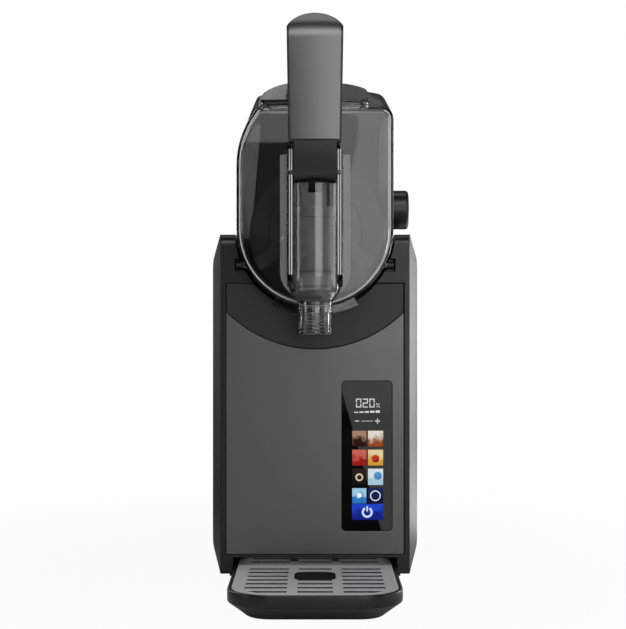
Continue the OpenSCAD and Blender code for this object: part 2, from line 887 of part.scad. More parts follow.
module filter_drier() {
  color("#b06a3a") {
    rod_y(9, y_can - 30, y_can + 36, -hw + 12, z_pan + 16);
    box(-hw + 6, -hw + 18, y_can - 6, y_can + 6, z_pan, z_pan + 10);
  }
}

module discharge_line() {
  z1 = z_can + can_h + 18;
  ye = y_cond + condenser_d / 2;
  x = line_x;
  run = [[x, y_can, z_can + can_h], [x, y_can, z1], [x, ye, z1], [x, ye, z_pan + fan_size + 10]];
  color("#c07a45") pipe(run, line_r);
}

module suction_line() {
  ys = y_g + 14;
  z0 = axis_z - line_in;
  z1 = z_can + can_h + 14;
  x = -line_x;
  run = [[0, y_p - 10, z0], [0, ys, z0], [0, ys, z1], [x, y_can, z1], [x, y_can, z_can + can_h]];
  color("#c07a45") pipe(run, line_r);
}

module power_board() {
  x0 = board_side - hw;
  y0 = y_in + board_off;
  z0 = z_sill + board_up;
  color("#2c6a3f") translate([x0, y0, z0]) {
    box(0, board_w, 0, board_t, 0, board_h);
    for (x = [board_edge, board_w - board_edge], z = [board_edge, board_h - board_edge])
      rod_y(board_edge / 2, -board_off, bite, x, z);
    box(2 * board_edge, 0.54 * board_w, board_t - bite, board_t + 26, 0.18 * board_h, 0.45 * board_h);
    rod_y(0.11 * board_w, board_t - bite, board_t + 24, 0.77 * board_w, 0.33 * board_h);
    box(0.23 * board_w, 0.77 * board_w, board_t - bite, board_t + 14, 0.62 * board_h, 0.86 * board_h);
  }
}

// Drip tray

module tray_discs(inset, y1 = tray_rear) {
  for (sx = [-1, 1]) {
    translate([sx * (tray_half - front_corner), y_nose + front_corner]) circle(r = front_corner - inset);
    translate([sx * (tray_half - rear_corner), y1 - rear_corner]) circle(r = rear_corner - inset);
  }
}

module tray_slab(inset, z0, z1) {
  translate([0, 0, z0]) linear_extrude(z1 - z0) hull() tray_discs(inset);
}

module slots(y0, y1, z0, z1) {
  n = floor((y1 - y0) / slot_pitch);
  for (i = [0 : n - 1]) let (y = y1 - slot_pitch / 2 - slot_pitch * i) {
    box(-slot_mid, slot_mid, y - slot_w / 2, y + slot_w / 2, z0, z1);
    both_sides() box(slot_in, slot_out, y - slot_w / 2, y + slot_w / 2, z0, z1);
  }
}

module drip_tray() {
  color("#17181a") {
    difference() {
      hull() {
        translate([0, 0, tray_lift]) linear_extrude(0.5) tray_discs(tray_foot);
        translate([0, 0, tray_bevel]) linear_extrude(tray_h - tray_bevel) tray_discs(0);
      }
      hull() {
        translate([0, 0, z_floor]) linear_extrude(0.5) tray_discs(tray_foot + 1);
        translate([0, 0, tray_bevel + 1]) linear_extrude(z_shelf - 3 - tray_bevel)
          tray_discs(rim_w + shelf_w);
      }
      intersection() {
        tray_slab(rim_w + shelf_w, z_shelf - 2.5, tray_h + over);
        box(-tray_half, tray_half, y_nose, grille_rear - shelf_w, 0, 50);
      }
      intersection() {
        tray_slab(rim_w, z_shelf, tray_h + over);
        box(-tray_half, tray_half, y_nose, grille_rear + slide_gap, 0, 50);
      }
      slots(grille_rear + 2, tray_rear - rim_w - 2, z_shelf - 4, tray_h + over);
    }
    both_sides() {
      box(tray_half - over, tray_half + runner, y_in + 2, tray_rear - rear_corner - 2,
          runner_z, runner_z + runner_h);
      box(slot_mid + 0.8, slot_in - 0.8, tray_rear - 26, tray_rear - 8, tray_h - bite, tray_h + 2.5);
    }
  }
}

module drip_grille() {
  color("#9b9ea2") difference() {
    intersection() {
      tray_slab(rim_w + slide_gap, z_shelf, tray_h);
      box(-tray_half, tray_half, y_nose, grille_rear, 0, 50);
    }
    intersection() {
      slots(y_nose + 3, grille_rear - 2, z_shelf - over, tray_h + over);
      tray_slab(rim_w + 7, z_shelf - 2 * over, tray_h + 2 * over);
    }
    translate([0, float_y, z_shelf - over]) linear_extrude(grille_t + 2 * over)
      round_rect(float_w + 2 * float_gap, float_d + 2 * float_gap, 9.5);
  }
}

module drip_float() {
  color("#0d0d0e") translate([0, float_y, z_floor + slide_gap]) {
    linear_extrude(tray_h - 1 - z_floor - slide_gap) round_rect(float_w, float_d, 9);
  }
}

// Vessel

module vessel() {
  color("#6f7478", 0.45) {
    difference() {
      union() {
        hull() {
          along_y(y_v, y_v + 0.2) front_discs(face_r);
          along_y(y_v + 0.3 * face_r, y_v + 0.3 * face_r + 0.2) front_discs(0.3 * face_r);
          along_y(y_v + face_r, y_v + face_r + 0.2) front_discs(0);
          along_y(y_r - 1, y_r) rear_discs(0);
        }
        along_y(y_f - slide_gap - lip_t, y_f - slide_gap) intersection() {
          translate([0, axis_z]) circle(r = lip_r);
          polygon([[0, axis_z], [-100 * sin(lip_half), axis_z - 100 * cos(lip_half)],
                   [100 * sin(lip_half), axis_z - 100 * cos(lip_half)]]);
        }
        both_sides() rod_x(lug_boss_r, lug_x - 4, lug_x + 3, lug_y, lug_z);
        on_slope() translate([0, 0, -9]) linear_extrude(lid_n - slide_gap + 9) mouth(0);
        on_slope() both_sides()
          box(hinge_half - ear_t, hinge_half, hinge_s - 3.4, hinge_s + 5, -7, hinge_n + 3.5);
      }
      hull() {
        along_y(y_v + vessel_t, y_v + vessel_t + 0.2) front_discs(vessel_t);
        along_y(y_r - 1, y_r + over) rear_discs(vessel_t);
      }
      on_slope() translate([0, 0, -30]) linear_extrude(40) mouth(neck_t);
      on_slope() rod_x(pin_r, -hinge_half - over, hinge_half + over, hinge_s, hinge_n);
      both_sides() rod_x(lug_r, lug_x + 0.8, lug_x + 4, lug_y, lug_z);
      box(-port_w / 2, port_w / 2, y_v - over, y_v + 2 * vessel_t, z_port0, z_port1);
    }
    box(rear_half - vessel_t - tongue_in, rear_half - vessel_t + bite, y_r - 14, y_r - 2,
        tongue_top - tongue_t, tongue_top);
    box(rear_half - vessel_t - tongue_in, rear_half - vessel_t - 0.4, y_r - 3, lock_y + cam_r,
        tongue_top - tongue_t, tongue_top);
  }
}

module vessel_gasket() {
  color("#0e0e0f") along_y(y_r, y_p) difference() {
    rear_outline(0.4);
    rear_outline(vessel_t);
  }
}

module vessel_lugs() {
  color("#101011") both_sides() rod_x(lug_r, lug_x + 0.8, lug_x + 8.3, lug_y, lug_z);
}

module fill_lid() {
  color("#4c5054", 0.7) on_slope() difference() {
    union() {
      translate([0, 0, lid_n]) linear_extrude(lid_t) mouth(0);
      translate([0, 0, lid_n - skirt_h]) linear_extrude(skirt_h + bite) difference() {
        mouth(neck_t + 0.4);
        mouth(neck_t + 2.2);
      }
      rod_x(knuckle_r, 1 + ear_t - hinge_half, hinge_half - ear_t - 1, hinge_s, hinge_n);
      box(1 + ear_t - hinge_half, hinge_half - ear_t - 1, hinge_s - 8, hinge_s, lid_n, lid_n + lid_t);
      box(-tab_half, tab_half, neck_s - 4, neck_s + 2, lid_n, lid_n + lid_t);
    }
    rod_x(pin_r + run_gap, -hinge_half, hinge_half, hinge_s, hinge_n);
    both_sides() box(hinge_half - ear_t - ear_gap, neck_w, hinge_s - 6, hinge_s + 6, -10, 20);
  }
}

module lid_hinge_pin() {
  color("#b8bcc0") on_slope() rod_x(pin_r - 0.02, -hinge_half, hinge_half, hinge_s, hinge_n);
}

// The clear column before the vessel: a bored tube, open at its upper front between two rails
module tap_column() {
  color("#a9aeb3", 0.45) difference() {
    union() {
      rod_z(tap_r, z_narrow, z_open, 0, y_t);
      translate([0, y_t, 0]) rotate_extrude() union() {
        intersection() {
          translate([tap_r - narrow_arc, z_narrow]) circle(r = narrow_arc, $fn = 128);
          translate([0, z_stub]) square([tap_r, narrow_h]);
        }
        translate([0, z_tip]) square([spout_r, z_stub - z_tip + bite]);
      }
      intersection() {
        rod_z(tap_r, z_open - bite, z_rail, 0, y_t);
        box(-tap_r, tap_r, y_t, y_v, z_open - over, z_rail + over);
      }
      both_sides() box(tap_bore, tap_r, y_t - rail_front, y_t + bite, z_open - bite, z_rail);
      box(-tap_r + 1, tap_r - 1, y_v - pad_t, y_v, z_narrow - 14, z_rail);
    }
    box(-50, 50, y_v, y_v + 50, z_nozzle - 50, z_rail + 50);
    rod_z(tap_bore, z_seat, z_rail + over, 0, y_t);
    translate([0, y_t, z_seat - 7]) cylinder(r1 = stub_bore, r2 = tap_bore, h = 7);
    rod_z(stub_bore, z_tip - over, z_seat - 6.5, 0, y_t);
    box(-tap_bore, tap_bore, y_t - 30, y_t, z_open, z_rail + over);
    box(-port_w / 2, port_w / 2, y_t, y_v + over, z_port0, z_port1);
    rod_x(pivot_r, -tap_r - over, tap_r + over, pivot_y, pivot_z);
  }
}

module tap_nozzle() {
  color("#9aa0a5", 0.6) translate([0, y_t, 0]) difference() {
    union() {
      rod_z(spout_r, z_nozzle, z_tip);
      rod_z(stub_bore - run_gap, z_tip - bite, z_tip + 5);
    }
    rod_z(nozzle_bore, z_nozzle - over, z_tip + 6);
    for (i = [1 : 5]) translate([0, 0, z_nozzle + 2.6 * i]) difference() {
      cylinder(r = spout_r + 1, h = 0.7);
      translate([0, 0, -over]) cylinder(r = spout_r - 0.35, h = 3);
    }
  }
}

module tap_plunger() {
  color("#8f959a", 0.6) difference() {
    union() {
      rod_z(head_r, z_head, z_head + head_h, 0, y_t);
      rod_z(tube_r, z_head + head_h - bite, z_disc + bite, 0, y_t);
      rod_z(head_r, z_disc, z_disc + disc_h, 0, y_t);
      for (i = [0 : 9], sx = [-1, 1]) translate([sx * (tube_r + 0.6), y_t, z_head + head_h + 4.5 + 3.4 * i])
        rotate([0, sx * 25, 0]) cube([2.2, 2.6, 1.6], center = true);
      box(-arm_half - fork_gap - fork_t, arm_half + fork_gap + fork_t, fork_y0, fork_y1,
          z_disc + disc_h - bite, fork_top);
    }
    rod_z(tube_r - 2.6, z_head + head_h + 2, z_disc + 2, 0, y_t);
    rod_z(1.5, z_disc, z_disc + disc_h + over, 0, y_t - 11);
    box(-arm_half - fork_gap, arm_half + fork_gap, fork_y0 - over, fork_y1 + over,
        crank_z - fork_room, fork_top + over);
    box(-30, 30, crank_y - crank_r - 0.4, crank_y + crank * (1 - cos(crank_a)) + crank_r + 0.4,
        crank_z - crank_r - 0.5, crank_z + crank_r + 0.5);
    for (z = [z_head + 2, z_head + head_h - 2 - seal_h]) translate([0, y_t, z]) difference() {
      cylinder(r = tap_bore, h = seal_h);
      translate([0, 0, -over]) cylinder(r = head_r - seal_d, h = seal_h + 2 * over);
    }
  }
}

module plunger_seals() {
  color("#1a1a1a") for (z = [z_head + 2, z_head + head_h - 2 - seal_h]) translate([0, y_t, z]) difference() {
    cylinder(r = tap_bore - seal_gap, h = seal_h);
    translate([0, 0, -over]) cylinder(r = head_r - seal_d, h = seal_h + 2 * over);
  }
}

// One side of the lever's bent section: up the face, round the bend, along the crown
function lever_line(r, v0) = concat(
  [[bend_r - lever_face - r, v0]],
  [for (a = [0 : crown_deg / 20 : crown_deg]) [bend_r - lever_face - r * cos(a), lever_h + r * sin(a)]],
  [[bend_r - lever_face - r * cos(crown_deg) + crown_l * sin(crown_deg),
    lever_h + r * sin(crown_deg) + crown_l * cos(crown_deg)]]);

module lever_section(r0, r1, v0) {
  back = lever_line(r1, v0);
  polygon(concat(lever_line(r0, v0), [for (i = [len(back) - 1 : -1 : 0]) back[i]]));
}

// The lever's outline seen from the front, with a rounded crown
module lever_outline(z0, inset) {
  w0 = lever_w0 / 2 - inset;
  w1 = lever_w1 / 2 - inset;
  r = crown_arc - inset;
  a1 = asin(w1 / r);
  polygon(concat([[-w0, z0]],
    [for (k = [-10 : 10]) let (a = a1 * k / 10) [r * sin(a), z_crown - r * cos(a1) + r * cos(a)]],
    [[w0, z0]]));
}

module lever_body() {
  color("#1c1d1f") difference() {
    union() {
      intersection() {
        translate([0, pivot_y, pivot_z]) along_x(-40, 40) lever_section(bend_r, bend_r - lever_t, wide_up);
        along_y(pivot_y - 60, pivot_y + 60) lever_outline(pivot_z + wide_up, 0);
      }
      translate([0, pivot_y, pivot_z]) along_x(-hub_half, hub_half)
        polygon([[-hub_r, 0], [-lever_face, 9], [-lever_face, wide_up + 4],
                 [lever_t - lever_face, wide_up + 4],
                 [hub_r - 1, 3], [hub_r, 0]]);
      rod_x(hub_r, -hub_half, hub_half, pivot_y, pivot_z);
      translate([0, pivot_y, pivot_z]) rotate([crank_a, 0, 0]) box(-arm_half, arm_half, 0, crank, -4, 4);
      rod_x(4, -arm_half, arm_half, crank_y, crank_z);
    }
    rod_x(pivot_r + run_gap, -30, 30, pivot_y, pivot_z);
    rod_x(crank_r, -30, 30, crank_y, crank_z);
    rod_x(notch_r, coil_x0 - 1.2, coil_x0 + coil_turns * coil_pitch + 1.2, pivot_y, pivot_z);
  }
}

module lever_cover() {
  color("#7c7f83") intersection() {
    translate([0, pivot_y, pivot_z]) along_x(-40, 40) lever_section(bend_r + plate_t, bend_r, cover_up);
    along_y(pivot_y - 60, pivot_y + 60) lever_outline(pivot_z + cover_up, edge_w);
  }
}

module lever_pivot_pin() {
  color("#2a2b2d") rod_x(pivot_r - run_gap, -tap_r, tap_r, pivot_y, pivot_z);
}

module crank_pin() {
  half = arm_half + fork_gap + fork_t;
  color("#babdc1") rod_x(crank_r, -half, half, crank_y, crank_z);
}

// The return spring round the pivot: one unbroken wire, eight rings a curl
module lever_spring() {
  rings = 8 * coil_turns;
  mid = [for (i = [0 : rings]) let (a = 45 * i)
    [coil_x0 + coil_pitch * i / 8, pivot_y + coil_r * cos(a), pivot_z + coil_r * sin(a)]];
  pts = [for (i = [0 : rings], k = [0 : 5]) let (a = 45 * i, b = 60 * k, s = coil_wire / 2)
    mid[i] + [s * sin(b), s * cos(b) * cos(a), s * cos(b) * sin(a)]];
  sides = [for (i = [0 : rings - 1], k = [0 : 5]) let (a = 6 * i + k, b = 6 * i + (k + 1) % 6)
    each [[a, b, a + 6], [b, b + 6, a + 6]]];
  e = 6 * rings;
  least = min([for (i = [0 : rings - 5], j = [i + 5 : rings]) norm(mid[i] - mid[j])]) - coil_wire;
  echo(lever_spring_least_gap = least);
  color("#c3c6ca") polyhedron(points = pts, faces = concat(sides, [[for (k = [5 : -1 : 0]) k],
                                                                   [for (k = [0 : 5]) e + k]]));
}

// Lock on the right of the upper housing

module lock_knob() {
  color("#26272a") translate([rear_half + 0.5, lock_y, lock_z]) rotate([0, 90, 0]) rotate_extrude() {
    square([knob_r, knob_l - 3]);
    square([knob_r - 3, knob_l]);
    translate([knob_r - 3, knob_l - 3]) circle(r = 3);
  }
}

module lock_cam() {
  color("#5a5d61") {
    rod_x(lock_r, rear_half - shell_t - 0.4 - cam_w, rear_half + 0.5, lock_y, lock_z);
    rod_x(cam_r, rear_half - shell_t - 0.4 - cam_w, rear_half - shell_t - 0.4, lock_y, lock_z - cam_off);
  }
}

base_pan();
feet();
front_frame();
front_panel();
bib_panel();
display_glass();
display_board();
side_cover_left();
side_cover_right();
rear_cover();
upper_back();
rear_screws();
cradle();
upper_housing();
evaporator_plate();
evaporator_drum();
evaporator_coil();
shaft_bushing();
shaft_seal();
drive_shaft();
auger();
gearbox_case();
gearbox_cover();
drive_gear();
motor_pinion();
gear_motor();
compressor();
compressor_mounts();
condenser();
fan_frame();
fan_rotor();
filter_drier();
discharge_line();
suction_line();
power_board();
cord_gland();
tray_dock();
drip_tray();
drip_grille();
drip_float();
vessel();
vessel_gasket();
vessel_lugs();
fill_lid();
lid_hinge_pin();
tap_column();
tap_nozzle();
tap_plunger();
plunger_seals();
lever_body();
lever_cover();
lever_pivot_pin();
crank_pin();
lever_spring();
lock_knob();
lock_cam();
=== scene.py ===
"""Slush machine: the looks of the part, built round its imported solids.

Shapes are worked out in millimetres, in the frame of the solids, and go into their meshes in metres.
"""
import json
import math

import bmesh
import bpy
import numpy as np
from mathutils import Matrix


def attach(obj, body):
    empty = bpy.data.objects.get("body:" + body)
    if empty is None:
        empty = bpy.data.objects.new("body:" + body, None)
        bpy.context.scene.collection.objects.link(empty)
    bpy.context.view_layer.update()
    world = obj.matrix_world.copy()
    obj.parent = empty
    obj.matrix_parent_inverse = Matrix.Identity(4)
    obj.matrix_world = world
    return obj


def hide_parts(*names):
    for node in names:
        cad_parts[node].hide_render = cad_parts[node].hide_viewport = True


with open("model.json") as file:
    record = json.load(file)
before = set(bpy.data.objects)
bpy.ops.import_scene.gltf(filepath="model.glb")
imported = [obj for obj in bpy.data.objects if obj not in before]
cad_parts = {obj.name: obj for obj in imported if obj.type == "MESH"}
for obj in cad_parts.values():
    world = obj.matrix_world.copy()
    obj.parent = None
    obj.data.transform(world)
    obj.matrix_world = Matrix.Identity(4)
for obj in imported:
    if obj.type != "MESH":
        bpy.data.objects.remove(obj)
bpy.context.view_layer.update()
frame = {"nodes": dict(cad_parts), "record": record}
scene = bpy.context.scene
MM = 0.001
BODY_OF = {n: b for b, ns in frame["record"]["behaviour"]["bodies"].items() for n in ns}

# Planes and sizes shared with the solids, millimetres
BODY_FRONT, REAR_COVER = -89.0, 207.0
HALF_WIDTH, UNDERSIDE, SHOULDER = 79.0, 15.0, 299.0
AXIS_Z = 301.0
VESSEL_FRONT, VESSEL_REAR, VESSEL_WALL = -119.0, 22.0, 3.2
FRONT_TOP, SLOPE = 400.0, math.atan(43.2 / 141.0)
TAP_Y = -138.0
PIVOT_Y, PIVOT_Z = -151.0, 342.5
GLASS_FRONT = -88.8
PORT = (-7.5, 7.5, 251.0, 266.0)  # opening to the tap: x0, x1, z0, z1


def in_scene(name, data):
    """A new object with its data, linked into the scene."""
    made = bpy.data.objects.new(name, data)
    scene.collection.objects.link(made)
    return made


# ---------- camera: level, straight at the front, the horizon a little below the middle of the frame
PHOTO_LONG, FOCAL, SHIFT_X, SHIFT_Y = 629.0, 1317.0, -2.0, 11.5  # pixels
SENSOR = 36.0  # millimetres
camera_data = bpy.data.cameras.new("camera")
camera_data.sensor_width = SENSOR
camera_data.lens = SENSOR * FOCAL / PHOTO_LONG
camera_data.shift_x, camera_data.shift_y = SHIFT_X / PHOTO_LONG, SHIFT_Y / PHOTO_LONG
camera = in_scene("camera", camera_data)
camera.location = (0.0, -1.189, 0.222)
camera.rotation_euler = (math.pi / 2, 0.0, 0.0)
scene.camera = camera


# ---------- shapes: grids of points worked out as whole arrays
def round_angles(count):
    """Even angles of one full turn."""
    return np.linspace(0.0, 2 * math.pi, count, endpoint=False)


def quads(rows, columns, wrap_rows=False):
    """Quads between neighbouring points of a grid whose columns close up; wrapped rows close up too."""
    i, j = np.meshgrid(np.arange(rows if wrap_rows else rows - 1), np.arange(columns), indexing="ij")
    i1, j1 = (i + 1) % rows, (j + 1) % columns
    corners = [i * columns + j, i1 * columns + j, i1 * columns + j1, i * columns + j1]
    return np.stack(corners, -1).reshape(-1, 4).tolist()


def hull_points(discs, normals, inset=0.0):
    """A convex outline as the hull of discs (x, z, r): along each normal the disc that reaches furthest
    gives its centre plus its radius, less the inset, times the normal."""
    discs = np.asarray(discs, float)
    n = np.stack([np.cos(normals), np.sin(normals)], -1)
    furthest = (n @ discs[:, :2].T + discs[:, 2]).argmax(1)
    return discs[furthest, :2] + (discs[furthest, 2] - inset)[:, None] * n


def hull_normals(*outlines, step=4.0):
    """Normal angles for a loft between outlines: even steps, and both sides of each angle at which an
    outline runs straight from one disc to the next."""
    search, near, beside = 0.02, 0.012, 2.5e-4  # degrees, radians, radians
    fine = np.radians(np.arange(0.0, 360.0, search))
    turns = []
    for discs in map(np.asarray, outlines):
        n = np.stack([np.cos(fine), np.sin(fine)], -1)
        furthest = (n @ discs[:, :2].T + discs[:, 2]).argmax(1)
        turns.append(fine[furthest != np.roll(furthest, 1)] - math.radians(search / 2))
    turns = np.unique(np.concatenate(turns).round(5))
    even = np.radians(np.arange(0.0, 360.0, step))
    apart = np.abs((even[:, None] - turns + math.pi) % (2 * math.pi) - math.pi).min(1)
    return np.sort(np.concatenate([even[apart > near], turns - beside, turns + beside]))


def rounded_rect(width, height, radius):
    """Four discs whose hull is a rectangle with rounded corners, about the origin."""
    x, z = width / 2 - radius, height / 2 - radius
    return [(x, z, radius), (-x, z, radius), (-x, -z, radius), (x, -z, radius)]


def stacked(rings, wrap_rows=False):
    """Rings of points joined into a skin; unless rows wrap, the first and last rings become flat ends."""
    rings = np.asarray(rings, float)
    rows, columns = rings.shape[:2]
    faces = quads(rows, columns, wrap_rows)
    if not wrap_rows:
        faces += [list(range(columns)), list(range((rows - 1) * columns, rows * columns))]
    return rings.reshape(-1, 3), faces


def turned(profile, centre, axis, sides=96):
    """A closed profile of (radius, height) turned once round an axis: x, y or z through the centre."""
    profile = np.asarray(profile, float)
    a = round_angles(sides)
    r, h = profile.T[:, None, :]
    u, v, w = r * np.cos(a)[:, None], r * np.sin(a)[:, None], h + 0 * a[:, None]
    order = {"x": (w, u, v), "y": (u, w, v), "z": (u, v, w)}[axis]
    points = np.stack(order, -1) + np.asarray(centre, float)
    return points.reshape(-1, 3), quads(sides, len(profile), True)


def rounded_steps(corners, radius, steps=4):
    """A profile of straight lines with each corner cut by an arc: a quadratic curve from one radius
    before the corner to one radius after it, or nearly half of a shorter side."""
    p = np.asarray(corners, float)
    before, after = np.roll(p, 1, 0) - p, np.roll(p, -1, 0) - p
    lb, la = np.linalg.norm(before, axis=1)[:, None], np.linalg.norm(after, axis=1)[:, None]
    reach = np.minimum(radius, 0.48 * np.minimum(lb, la))
    start, end = p + before / lb * reach, p + after / la * reach
    t = np.linspace(0.0, 1.0, steps + 1)[None, :, None]
    curve = (1 - t) ** 2 * start[:, None] + 2 * t * (1 - t) * p[:, None] + t ** 2 * end[:, None]
    return curve.reshape(-1, 2)


def boxes(rows, y0, y1):
    """Flat plates (x0, x1, z0, z1), each from y0 to y1, as one array of corners."""
    rows = np.asarray(rows, float)
    x, z = rows[:, [0, 1, 1, 0]], rows[:, [2, 2, 3, 3]]
    front = np.stack([x, np.full_like(x, y0), z], -1)
    back = front + (0.0, y1 - y0, 0.0)
    points = np.concatenate([front, back], 1)
    sides = np.array([(0, 1, 2, 3), (7, 6, 5, 4), (0, 4, 5, 1), (1, 5, 6, 2), (2, 6, 7, 3), (3, 7, 4, 0)])
    faces = sides[None] + 8 * np.arange(len(rows))[:, None, None]
    return points.reshape(-1, 3), faces.reshape(-1, 4).tolist()


def up_the_slope(x, s, n):
    """A point of the vessel's sloping top: s up the slope from the front edge, n out of it."""
    y = VESSEL_FRONT + s * math.cos(SLOPE) - n * math.sin(SLOPE)
    return np.stack([x + 0 * y, y, FRONT_TOP + s * math.sin(SLOPE) + n * math.cos(SLOPE)], -1)


# ---------- pieces
CREASE, FLAT = 30.0, 0.4  # degrees: edges that bend more stay sharp, edges that bend less go
MERGE, SOLID_MERGE = 1e-7, 2e-6  # metres: closer points become one
FACE_ROOM = 2.4  # radii: an edge of a narrower face is not rounded


def read(rows, field, kind, width=1):
    """One field of all rows of a mesh's table as an array, in columns if it has several numbers."""
    values = np.empty(width * len(rows), kind)
    rows.foreach_get(field, values)
    return values.reshape(-1, width) if width > 1 else values


def raw_object(name, points, faces):
    """A closed mesh in the scene, its faces turned outwards and its doubles merged."""
    mesh = bpy.data.meshes.new(name)
    mesh.from_pydata((np.asarray(points) * MM).tolist(), [], faces)
    work = bmesh.new()
    work.from_mesh(mesh)
    bmesh.ops.remove_doubles(work, verts=work.verts, dist=MERGE)
    bmesh.ops.recalc_face_normals(work, faces=work.faces)
    work.to_mesh(mesh)
    work.free()
    return in_scene(name, mesh)


def smooth(made, angle=CREASE):
    """Smooth shading, broken at edges sharper than the angle in degrees."""
    made.data.shade_smooth()
    made.data.set_sharp_from_angle(angle=math.radians(angle))
    return made


def rounded_edges(made, radius, angle=CREASE):
    """A bevel on each edge sharper than the angle, as a mould or a deburring wheel leaves it."""
    edge = made.modifiers.new("edge", "BEVEL")
    edge.width, edge.segments = radius * MM, 3
    edge.limit_method, edge.angle_limit = "ANGLE", math.radians(angle)
    edge.use_clamp_overlap = False
    edge.harden_normals = True
    return made


def edges_to_round(mesh, radius):
    """A weight for each edge: 1 where it is sharper than a crease and the faces on both its sides have room
    for the radius, taking a face's area over the edge's length as its width; else 0."""
    a, b = read(mesh.vertices, "co", np.float32, 3)[read(mesh.edges, "vertices", np.int32, 2).T]
    length = np.linalg.norm(a - b, axis=1)
    edge = read(mesh.loops, "edge_index", np.int32)
    sides, area = read(mesh.polygons, "loop_total", np.int32), read(mesh.polygons, "area", np.float32)
    normal = read(mesh.polygons, "normal", np.float32, 3)
    face = np.repeat(np.arange(len(sides)), sides)[np.argsort(edge, kind="stable")]
    first = np.searchsorted(np.sort(edge), np.arange(len(length)))
    left, right = face[first], face[first + 1]
    sharp = (normal[left] * normal[right]).sum(1) < math.cos(math.radians(CREASE))
    wide = np.minimum(area[left], area[right]) > FACE_ROOM * radius * MM * length
    return (sharp & wide).astype(np.float32)


def joined(target, points, faces, operation="UNION"):
    """Adds a second closed mesh to the first, or cuts it away."""
    other = raw_object("tool", points, faces)
    step = target.modifiers.new("join", "BOOLEAN")
    step.operation, step.solver, step.object = operation, "EXACT", other
    bpy.context.view_layer.objects.active = target
    bpy.ops.object.modifier_apply(modifier=step.name)
    bpy.data.objects.remove(other)


def cut_out(target, points, faces):
    """Cuts a second closed mesh away from the first."""
    joined(target, points, faces, "DIFFERENCE")


def fitted(made, material, *nodes, body=None, slot=None):
    """Gives a piece its finish and body, and lets it stand for the solids that it shows; slot is not used."""
    made.data.materials.clear()
    made.data.materials.append(material)
    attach(made, body or BODY_OF[nodes[0]])
    if nodes:
        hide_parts(*nodes)


def softened(node, radius, material):
    """The solid's own shape with its sharp edges rounded."""
    source = frame["nodes"][node].data
    mesh = bpy.data.meshes.new(node + "_moulded")
    mesh.from_pydata(read(source.vertices, "co", np.float32, 3).tolist(), [],
                     read(source.loops, "vertex_index", np.int32).reshape(-1, 3).tolist())
    work = bmesh.new()
    work.from_mesh(mesh)
    bmesh.ops.remove_doubles(work, verts=work.verts, dist=SOLID_MERGE)
    bmesh.ops.dissolve_limit(work, angle_limit=math.radians(FLAT), verts=work.verts, edges=work.edges)
    work.to_mesh(mesh)
    work.free()
    made = smooth(in_scene(node + "_moulded", mesh))
    if radius:
        weight = mesh.attributes.new("bevel_weight_edge", "FLOAT", "EDGE")
        weight.data.foreach_set("value", edges_to_round(mesh, radius))
        rounded_edges(made, radius).modifiers["edge"].limit_method = "WEIGHT"
    fitted(made, material, node)


# ---------- finishes
def linear(code):
    """An sRGB hex colour as linear red, green and blue, with full alpha."""
    c = np.array([int(code[i:i + 2], 16) for i in (1, 3, 5)]) / 255.0
    c = np.where(c <= 0.04045, c / 12.92, ((c + 0.055) / 1.055) ** 2.4)
    return (*c.tolist(), 1.0)


def put(tree, kind, inputs=None, **settings):
    """Adds a node: settings are its own properties, inputs are values, or sockets to link."""
    node = tree.nodes.new(kind)
    for name, value in settings.items():
        setattr(node, name, value)
    for name, value in (inputs or {}).items():
        if isinstance(value, bpy.types.NodeSocket):
            tree.links.new(value, node.inputs[name])
        else:
            node.inputs[name].default_value = value
    return node


def shader(name, colour, rough, **sockets):
    """A material with its main shader set, and the socket that gives each point's place on the piece."""
    material = bpy.data.materials.new(name)
    material.use_nodes = True
    tree = material.node_tree
    main = tree.nodes["Principled BSDF"]
    main.inputs["Base Color"].default_value = linear(colour)
    main.inputs["Roughness"].default_value = rough
    for socket, value in sockets.items():
        main.inputs[socket.replace("_", " ")].default_value = value
    place = put(tree, "ShaderNodeTexCoord").outputs["Object"]
    return material, tree, main, place


def noise(tree, place, lump, detail):
    """Soft noise over a piece, in lumps of about lump millimetres."""
    return put(tree, "ShaderNodeTexNoise", {"Vector": place, "Scale": 1000 / lump,
                                            "Detail": detail}).outputs["Fac"]


def mixed(tree, share, first, second):
    """Two colours mixed by a share from 0 to 1, each a hex code or a socket."""
    first, second = (linear(c) if isinstance(c, str) else c for c in (first, second))
    return put(tree, "ShaderNodeMixRGB", {"Fac": share, "Color1": first, "Color2": second}).outputs["Color"]


def ranged(tree, value, start, end, low=0.0, high=1.0):
    """A value from the range start to end carried over to low to high, and held at the ends."""
    return put(tree, "ShaderNodeMapRange", {"Value": value, "From Min": start, "From Max": end,
                                            "To Min": low, "To Max": high}).outputs["Result"]


def computed(tree, operation, *values):
    """A sum or product of numbers and sockets."""
    return put(tree, "ShaderNodeMath", dict(enumerate(values)), operation=operation).outputs["Value"]


def coordinate(tree, place, axis):
    """One coordinate of a place, in metres."""
    return put(tree, "ShaderNodeSeparateXYZ", {"Vector": place}).outputs[axis]


def bumped(tree, height, strength, depth):
    """The normals of a surface with bumps depth millimetres high."""
    return put(tree, "ShaderNodeBump", {"Height": height, "Strength": strength,
                                        "Distance": depth * MM}).outputs["Normal"]


def wired(tree, main, **sources):
    """Links sockets to inputs of the main shader."""
    for name, source in sources.items():
        tree.links.new(source, main.inputs[name.replace("_", " ")])


def moulded(name, colour, second, rough, spread, grain, depth):
    """Moulded plastic: the spark-eroded grain of the tool, grain millimetres across and depth deep, and a
    tone and gloss that wander over some 70 mm as the melt cooled."""
    material, tree, main, place = shader(name, colour, rough)
    cloud = noise(tree, place, 70.0, 3.0)
    wired(tree, main, Base_Color=mixed(tree, cloud, colour, second),
          Roughness=ranged(tree, cloud, 0.3, 0.7, rough - spread, rough + spread),
          Normal=bumped(tree, noise(tree, place, grain, 2.0), 0.5, depth))
    return material


